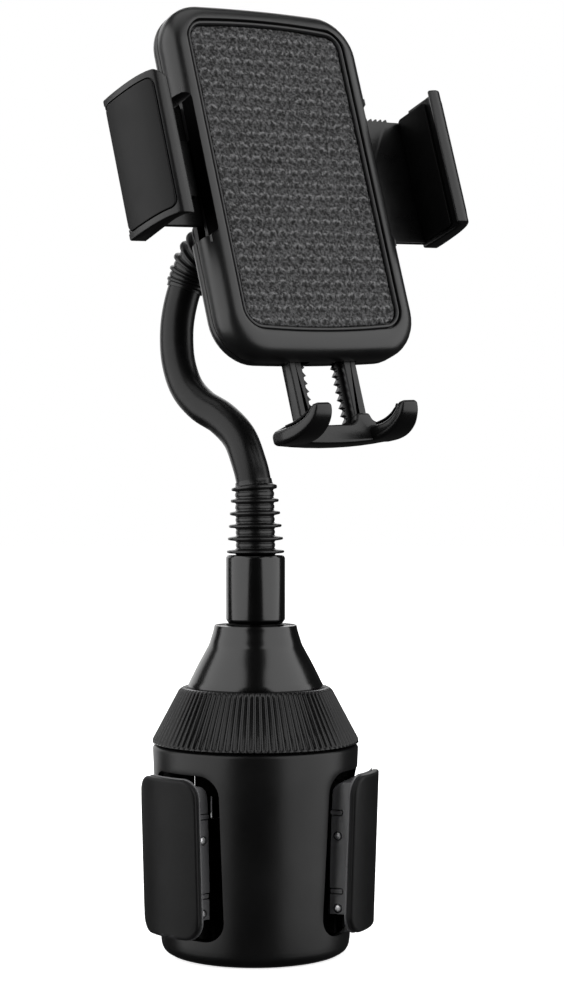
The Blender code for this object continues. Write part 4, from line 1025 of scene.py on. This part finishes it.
def button_hole(grow, low, high):
    x, z = (grown((at - half, at + half), grow) for at, half in zip(BUTTON_AT, BUTTON_HALF))
    return prism(rounded(x, z, 3.0 + grow), "Y", low, high)


def scale_depth(x, z):
    """How deep the pad's texture lies at a point: a pit in every cell and a raised arch above it."""
    dx = (x / SCALE_PITCH[0] - round(x / SCALE_PITCH[0])) * SCALE_PITCH[0]
    dz = (z / SCALE_PITCH[1] - round(z / SCALE_PITCH[1])) * SCALE_PITCH[1]
    reach = hypot(dx, dz * 1.2)
    pit = exp(-((dx / 0.75) ** 2) - (dz / 0.62) ** 2)
    arch = exp(-(((reach - ARCH_R) / 0.42) ** 2)) * max(0.0, dz / (reach + 0.01))
    row = exp(-(((dz + 0.35 - 0.25 * (dx / 1.4) ** 2) / 0.45) ** 2))
    fibre = noise.noise(Vector((x * 1.1, 0.3, z * 1.5)))
    fibre += 0.8 * noise.noise(Vector((x * 2.1, 4.1, z * 2.3)))
    return SCALE_DEPTH * (1 + 0.6 * pit + 0.4 * row - 0.8 * arch) - 0.3 * fibre


def make_grip_pad():
    """A smooth border bead, and inside it the soft pad with its texture in real relief."""
    sections = ((0.1, 0.9), (0.1, -0.1), (-0.1, -0.35), (-0.4, -0.45), (-0.7, -0.35), (-0.9, -0.1))
    rings = [grip_ring(grow, y) for grow, y in (*sections, (-0.9, 0.9))]
    border = solid("pad_border", loft(rings, closed=True))
    place(border, "cradle", "grip_rubber", "grip_pad", at=CRADLE, finish="bead", sharp=SHARP_PLATE)
    margin = 1.35
    half_w = GRIP_HALF_W - margin
    corner = GRIP_CORNER - margin
    low = GRIP_Z[0] + GRIP_ARCH + margin
    high = GRIP_Z[1] - GRIP_ARCH - margin
    step = 0.3
    reaches = [corner * (1 - cos(radians(a))) for a in range(0, 91, 5)]
    reaches = sorted(set(round(r, 3) for r in reaches + [0.1, 0.25, 0.45, 0.7, 1.0]))
    inner = int(2 * (half_w - corner) / step)
    xs = [-half_w + r for r in reaches]
    xs += [-half_w + corner + 2 * (half_w - corner) * i / inner for i in range(1, inner)]
    xs += [half_w - r for r in reversed(reaches)]
    rows = int((high - low) / step)
    rim_steps = [0.0, 0.1, 0.25, 0.45, 0.7]
    bm = bmesh.new()
    grid = []
    for x in xs:
        drop = fall(corner, half_w - abs(x))
        arch = GRIP_ARCH * (1 - (x / half_w) ** 2)
        bottom = low + drop - arch
        top = high - drop + arch
        column = []
        span = top - bottom - 2 * rim_steps[-1]
        levels = [bottom + r for r in rim_steps]
        levels += [levels[-1] + span * k / rows for k in range(1, rows)]
        levels += [top - r for r in reversed(rim_steps)]
        for z in levels:
            flat_z = z - (arch if z > 0 else -arch)
            inside = edge_distance(x, flat_z, (-half_w, half_w), (low, high), corner)
            relief = max(0.0, scale_depth(x, z)) + 0.5 * max(0.0, 1 - inside / 0.5) ** 2
            column.append(bm.verts.new(Vector((x, relief, z)) * MM))
        grid.append(column)
    for a, b in zip(grid, grid[1:]):
        for k in range(len(a) - 1):
            bm.faces.new((a[k], b[k], b[k + 1], a[k + 1]))
    border = [e for e in bm.edges if e.is_boundary]
    made = bmesh.ops.extrude_edge_only(bm, edges=border)["geom"]
    for vert in (g for g in made if isinstance(g, bmesh.types.BMVert)):
        vert.co.y = 1.3 * MM
    bmesh.ops.edgeloop_fill(bm, edges=[e for e in bm.edges if e.is_boundary])
    place(from_bmesh("woven_pad", bm), "cradle", "grip_rubber", "grip_pad", at=CRADLE, sharp=radians(75))


# ---- arms

JAW_OUTER = (
    (61.4, 9.4), (61.4, 6.0), (61.2, 2.0), (60.6, -4.0), (59.6, -9.0), (58.2, -12.6),
    (56.5, -14.65), (54.6, -15.25), (52.5, -14.95),
)
JAW_INNER = ((52.7, -13.6), (54.3, -13.1), (55.1, -11.4), (55.6, -8.0), (55.6, -3.0), (55.6, 9.4))


class Face(Curve):
    """The jaw's outer face in plan, read by arc length from its back edge."""

    def __init__(self):
        super().__init__(JAW_OUTER, 10)

    def __call__(self, s):
        s = min(max(s, 0.0), self.lengths[-1] - 0.01)
        i = self.reached(s)
        ahead = (self.points[i] - self.points[i - 1]).normalized()
        return tuple(self.at(s)), (-ahead.y, ahead.x)


def jaw_shape(lip_drop):
    """The jaw in plan, lofted upwards with rounded ends; the lip's top edge drops towards its tip."""
    tip = [(52.1, -14.75), (51.95, -14.3), (52.15, -13.85)]
    outline = ccw([Vector(p) for p in [*smoothed(JAW_OUTER, 5), *tip, *smoothed(JAW_INNER, 5)]])
    made = []
    for z, depth in rims(*JAW_Z, 0.7, 4):
        ring = []
        for p in inset(outline, depth):
            lip = p.y < -9 and z > ARM_Z
            drop = lip_drop * max(0.0, min(1.0, (56.5 - p.x) / 4.5)) if lip else 0.0
            ring.append((p.x, p.y, z - drop))
        made.append(ring)
    return loft(made)


def plate_outline(side):
    low = ARM_Z - PLATE_HALF_H + (4.0 if side < 0 else 0.0)
    high = ARM_Z + PLATE_HALF_H - 0.9
    top = [(24.0, high)]
    if side > 0:
        for i in range(5):
            x = 39.6 + 2.1 * i
            top += [(x, high), (x + 1.5, high + 0.9), (x + 2.0, high + 0.9)]
        top.append((50.2, high))
    return [(24.0, low), (JAW_IN + 1.0, low), (JAW_IN + 1.0, high)] + top[::-1]


def rack_bar():
    """Rack in the left arm's position, above the pinion, in the frame of the pinion's centre."""
    half = RACK_PITCH / 4 - 0.125
    root = PITCH_R + 1.0
    tip = PITCH_R - 0.8
    points = []
    first = round(-24.5 / RACK_PITCH)
    for i in range(first, first + 10):
        middle = RACK_PITCH * i
        points += [(middle - half - 0.36, root), (middle - half + 0.3, tip)]
        points += [(middle + half - 0.3, tip), (middle + half + 0.36, root)]
    return prism([(-46.0, root)] + points + [(5.2, root), (5.2, 10.2), (-46.0, 10.2)], "Y", *RACK_Y)


def make_arm(name, side):
    face = Face()
    arm = solid(f"{name}_jaw_and_plate", mirrored(jaw_shape(2.4 if side < 0 else 0.3), side))
    fuse(arm, mirrored(soft_prism(plate_outline(side), "Y", *PLATE_Y, edge=0.25, corner=0.0), side))
    turn = Matrix.Translation((0, 0, ARM_Z))
    if side > 0:
        turn = turn @ Matrix.Rotation(pi, 4, "Y")
    fuse(arm, moved(rack_bar(), turn))
    spine_z = sorted((ARM_Z - side * (PITCH_R + 1.4), ARM_Z - side * 9.8))
    fuse(arm, box(on_side(side, 25.0, 45.0), (PLATE_Y[0] + 0.5, RACK_Y[1] - 0.2), spine_z))
    if side < 0:
        boss = rounded((35.0, 53.0), (ARM_Z - 9.5, ARM_Z + 9.5), 1.2, 4)
        boss = soft_prism(boss, "Y", PLATE_Y[0] - 1.8, PLATE_Y[0] + 0.8, edge=0.4, corner=0.0)
        fuse(arm, mirrored(boss, side))
    front = 24.2
    z = grown(JAW_Z, -2.6)
    pocket_z = grown(z, 0.35)
    pocket = curved_plate(face, (0.0, front + 0.35), pocket_z, 2.8, 1.3, 0.01, proud=1.2)
    back = box((58.0, 66.0), (9.0, 12.0), pocket_z)
    cut(arm, mirrored(pocket, side))
    cut(arm, mirrored(back, side))
    cut(arm, mirrored(box((50.0, 58.2), (1.8, 12.0), (ARM_Z + PLATE_HALF_H - 0.9, 30.0)), side))
    place(arm, f"{name}_arm", "arm_plastic", f"{name}_arm", at=CRADLE)
    panel = curved_plate(face, (0.25, front), z, 2.5, 1.0, 0.45, proud=0.12)
    panel = solid(f"{name}_jaw_panel", mirrored(panel, side))
    node = f"{name}_jaw_cap"
    place(panel, f"{name}_arm", "cap_plastic", node, at=CRADLE, sharp=SHARP_PLATE)
    # The jaw's rubber liner, grown past the pad's own size over the whole inner wall; beyond the pad its
    # dark face is painted shade
    outline = rounded((-8.0, 7.2), (ARM_Z - 22.4, ARM_Z + 22.4), 1.5, 5)
    liner = soft_prism(outline, "X", JAW_IN - 1.1, JAW_IN + 0.1, 0.3, 0.0)
    liner = solid(f"{name}_jaw_liner", mirrored(liner, side))
    place(liner, f"{name}_arm", "jaw_rubber", f"{name}_jaw_pad", at=CRADLE)


# ---- foot and button

def foot_rail():
    left, right = RAIL_X
    low = FOOT_Z[1] - 2.0
    outline = ((left, low), (right, low), (right, RAIL_TOP), (left, RAIL_TOP))
    rib = soft_prism(outline, "Y", *RAIL_Y, edge=0.5, corner=0.4)
    pitch = 2.7
    strip = [(RAIL_X[0] + 0.5, FOOT_Z[1] - 1.0), (7.2, FOOT_Z[1] - 1.0)]
    for i in range(14):
        z = FOOT_Z[1] + 1.0 + pitch * i
        strip += [(7.2, z), (5.8, z + 0.5), (7.2, z + pitch - 0.4)]
    strip += [(7.2, RAIL_TOP - 0.5), (RAIL_X[0] + 0.5, RAIL_TOP - 0.5)]
    return rib, prism(strip, "Y", RAIL_Y[1] - 2.2, RAIL_Y[1] - 0.1)


def foot_bar():
    low, high = FOOT_Z
    half = [
        (22.6, low + 2.2), (22.6, high - 1.6), (21.2, high), (16.4, high + 0.2),
        (14.3, high + 1.2), (13.3, high + 3.6), (RAIL_X[0], high + 3.6), (7.6, high + 1.0), (5.6, high),
    ]
    top = half + [(-x, z) for x, z in reversed(half)]
    reaches = [-21.6 + 43.2 * i / 8 for i in range(9)]
    under = [(x, low + 1.4 * (x / 21.6) ** 2) for x in reaches]
    return soft_prism(top + under, "Y", RAIL_Y[0] - 1.6, RAIL_Y[1], edge=0.9, corner=0.9)


def swept(path, profile):
    """Loft a cross-section along (x, y, z, half width, half thickness) stations in a vertical plane."""
    line = smoothed([row[:3] for row in path], 6)
    sizes = smoothed([row[3:] for row in path], 6)
    rings = []
    across = Vector((1, 0, 0))
    last = Vector((0, 0, 1))
    for i, (p, size) in enumerate(zip(line, sizes)):
        ahead = (line[min(len(line) - 1, i + 1)] - line[max(0, i - 1)]).normalized()
        above = across.cross(ahead).normalized()
        if (above.z < 0 and i < 3) or above.dot(last) < 0:
            above = -above
        last = above
        rings.append([p + across * a + above * b for a, b in profile(size)])
    return loft(rings)


HOOK = (
    (18.0, 8.0, -87.2, 5.4, 2.5), (17.9, 3.0, -87.9, 5.7, 2.5), (17.7, -2.0, -88.0, 5.3, 2.3),
    (17.4, -6.4, -87.0, 4.6, 2.0), (17.1, -9.4, -85.2, 3.9, 1.8), (17.0, -10.9, -83.2, 3.4, 1.6),
    (17.0, -11.25, -82.2, 2.9, 1.25), (17.0, -11.3, -81.8, 2.0, 0.6),
)


def hook_section(size):
    half_w, half_t = size
    return rounded((-half_w, half_w), (-half_t, half_t), min(half_t, half_w) * 0.7, 4)


def liner_section(size):
    half_w = size[0]
    return rounded((-half_w, half_w), (2.7, 3.45), 0.3, 2)


LINER = (
    (17.9, 3.0, -87.9, 4.2, 0.0), (17.7, -2.0, -88.0, 4.0, 0.0), (17.4, -6.2, -87.1, 3.4, 0.0),
    (17.1, -9.2, -85.4, 2.7, 0.0), (17.0, -10.6, -83.6, 2.2, 0.0),
)


def make_foot():
    foot = solid("foot_and_hooks", foot_bar())
    for side in (-1, 1):
        rib, strip = foot_rail()
        fuse(foot, mirrored(rib, side), mirrored(strip, side), mirrored(swept(HOOK, hook_section), side))
    place(foot, "foot", "arm_plastic", "foot_support", at=CRADLE)
    for name, side in SIDES:
        liner = solid(f"hook_liner_{name}", mirrored(swept(LINER, liner_section), side))
        place(liner, "foot", "jaw_rubber", f"hook_pad_{name}", at=CRADLE)


def make_button():
    x, z = BUTTON_AT
    cap = rounded((x - 8.0, x + 8.0), (z - 4.5, z + 4.5), 3.0)
    button = solid("push_button", soft_prism(cap, "Y", 11.4, 15.2, edge=0.6, corner=0.0))
    for i in range(5):
        groove = box((x - 5.0, x + 5.0), (14.9, 15.6), (z + 1.4 * (i - 2) - 0.3, z + 1.4 * (i - 2) + 0.3))
        cut(button, groove)
    fuse(button, box((x - 9.6, x + 9.6), (10.2, 11.1), (z - 6.2, z + 6.2)))
    fuse(button, box((x - 5.0, x + 5.0), (11.0, 12.0), (z - 3.0, z + 3.0)))
    ramp = ((10.4, z - 4.0), (10.4, z + 2.8), (9.2, z + 1.6), (6.6, z - 1.0), (6.6, z - 4.0))
    fuse(button, prism(ramp, "X", -3.0, 3.0))
    place(button, "button", "button_plastic", "release_button", at=CRADLE)


# ---- carried-over pieces, stage and camera

KEPT = {
    "inner_plastic": ["guide_chassis", "lead_screw", "carriage", "socket_seat", "foot_detent", "lock_pawl"]
    + [f"wing_slider_{i}" for i in (1, 2, 3)],
    "steel": ["centre_post", "pinion_spring", "button_spring"],
    "nylon": ["ball_liner", "pinion"],
}


# The point that every lamp faces, about the middle of the object, in metres
LAMP_AIM = Vector((0.0, 0.0, 0.17))
# Azimuth and elevation in degrees, distance and size in metres, radiance
LAMPS = {
    "key_left": (-68, 15, 1.2, (2.1, 2.1), 2.3),
    "key_right": (68, 15, 1.2, (2.1, 2.1), 2.3),
    "top_light": (0, 88, 1.4, (1.2, 1.2), 1.2),
    "rim_left": (-150, 12, 1.3, (0.8, 1.2), 1.2),
    "back_light": (178, 25, 1.6, (0.9, 1.0), 1.6),
}


def dress_kept_nodes():
    for slot, names in KEPT.items():
        for name in names:
            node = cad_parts[name]
            node.data.materials.clear()
            node.data.materials.append(look(slot))


def softbox(name, azimuth, elevation, distance, size, radiance):
    """A rectangular lamp that faces the object; azimuth is counted from -Y towards +X."""
    lamp = bpy.data.lights.new(name, "AREA")
    lamp.shape = "RECTANGLE"
    lamp.size, lamp.size_y = size
    lamp.energy = radiance * size[0] * size[1] * pi
    obj = linked(name, lamp)
    a = radians(azimuth)
    e = radians(elevation)
    offset = Vector((sin(a) * cos(e), -cos(a) * cos(e), sin(e))) * distance
    obj.location = LAMP_AIM + offset
    obj.rotation_euler = offset.to_track_quat("Z", "Y").to_euler()
    obj.visible_camera = False


def make_world():
    """White where the camera looks, and dim for everything that the object reflects."""
    world = bpy.data.worlds.new("studio")
    bpy.context.scene.world = world
    world.use_nodes = True
    nodes = world.node_tree.nodes
    links = world.node_tree.links
    mix = nodes.new("ShaderNodeMixShader")
    rays = nodes.new("ShaderNodeLightPath")
    links.new(rays.outputs["Is Camera Ray"], mix.inputs[0])
    dim = nodes.new("ShaderNodeBackground")
    for slot, node, grey in ((1, dim, 0.03), (2, nodes["Background"], 1.0)):
        node.inputs["Color"].default_value = (grey, grey, grey, 1)
        node.inputs["Strength"].default_value = 1.0
        links.new(node.outputs[0], mix.inputs[slot])
    links.new(mix.outputs[0], nodes["World Output"].inputs["Surface"])


def make_stage():
    """A floor that glows white away from the object, a world and the lamps."""
    bm = bmesh.new()
    bmesh.ops.create_grid(bm, x_segments=2, y_segments=2, size=6.0)
    mesh = bpy.data.meshes.new("floor")
    bm.to_mesh(mesh)
    bm.free()
    ground = linked("floor", mesh)
    ground.location = (0, 0, -0.0002)
    paint = Paint("floor_white")
    away = paint.add("VectorMath", {0: paint.place}, "Value", operation="LENGTH")
    white = {"Base Color": (0.9, 0.9, 0.9, 1), "Roughness": 0.9, "Emission Color": (1, 1, 1, 1)}
    glow = paint.spread(away, 0.72, 1.05, 0.05, 0.45)
    paint.feed(paint.tree.nodes["Principled BSDF"], {**white, "Emission Strength": glow})
    mesh.materials.append(paint.made)
    ground.visible_glossy = False
    ground.visible_diffuse = False
    ground.visible_shadow = False
    make_world()
    for name, values in LAMPS.items():
        softbox(name, *values)
    bpy.context.scene.view_settings.view_transform = "Standard"


def make_camera():
    lens = bpy.data.cameras.new("camera")
    lens.sensor_fit = "VERTICAL"
    lens.sensor_height = 36.0
    lens.lens = 76.6
    camera = linked("camera", lens)
    camera.location = (0.0087, -0.7, 0.148)
    camera.rotation_euler = (pi / 2, 0, 0)
    bpy.context.scene.camera = camera


make_camera()
make_cup()
make_bottom()
make_ring()
make_cone()
make_wings()
make_neck()
make_ball_joint()
make_front_cover()
make_back_cover()
make_grip_pad()
make_arm("left", -1)
make_arm("right", 1)
make_foot()
make_button()
dress_kept_nodes()
make_stage()
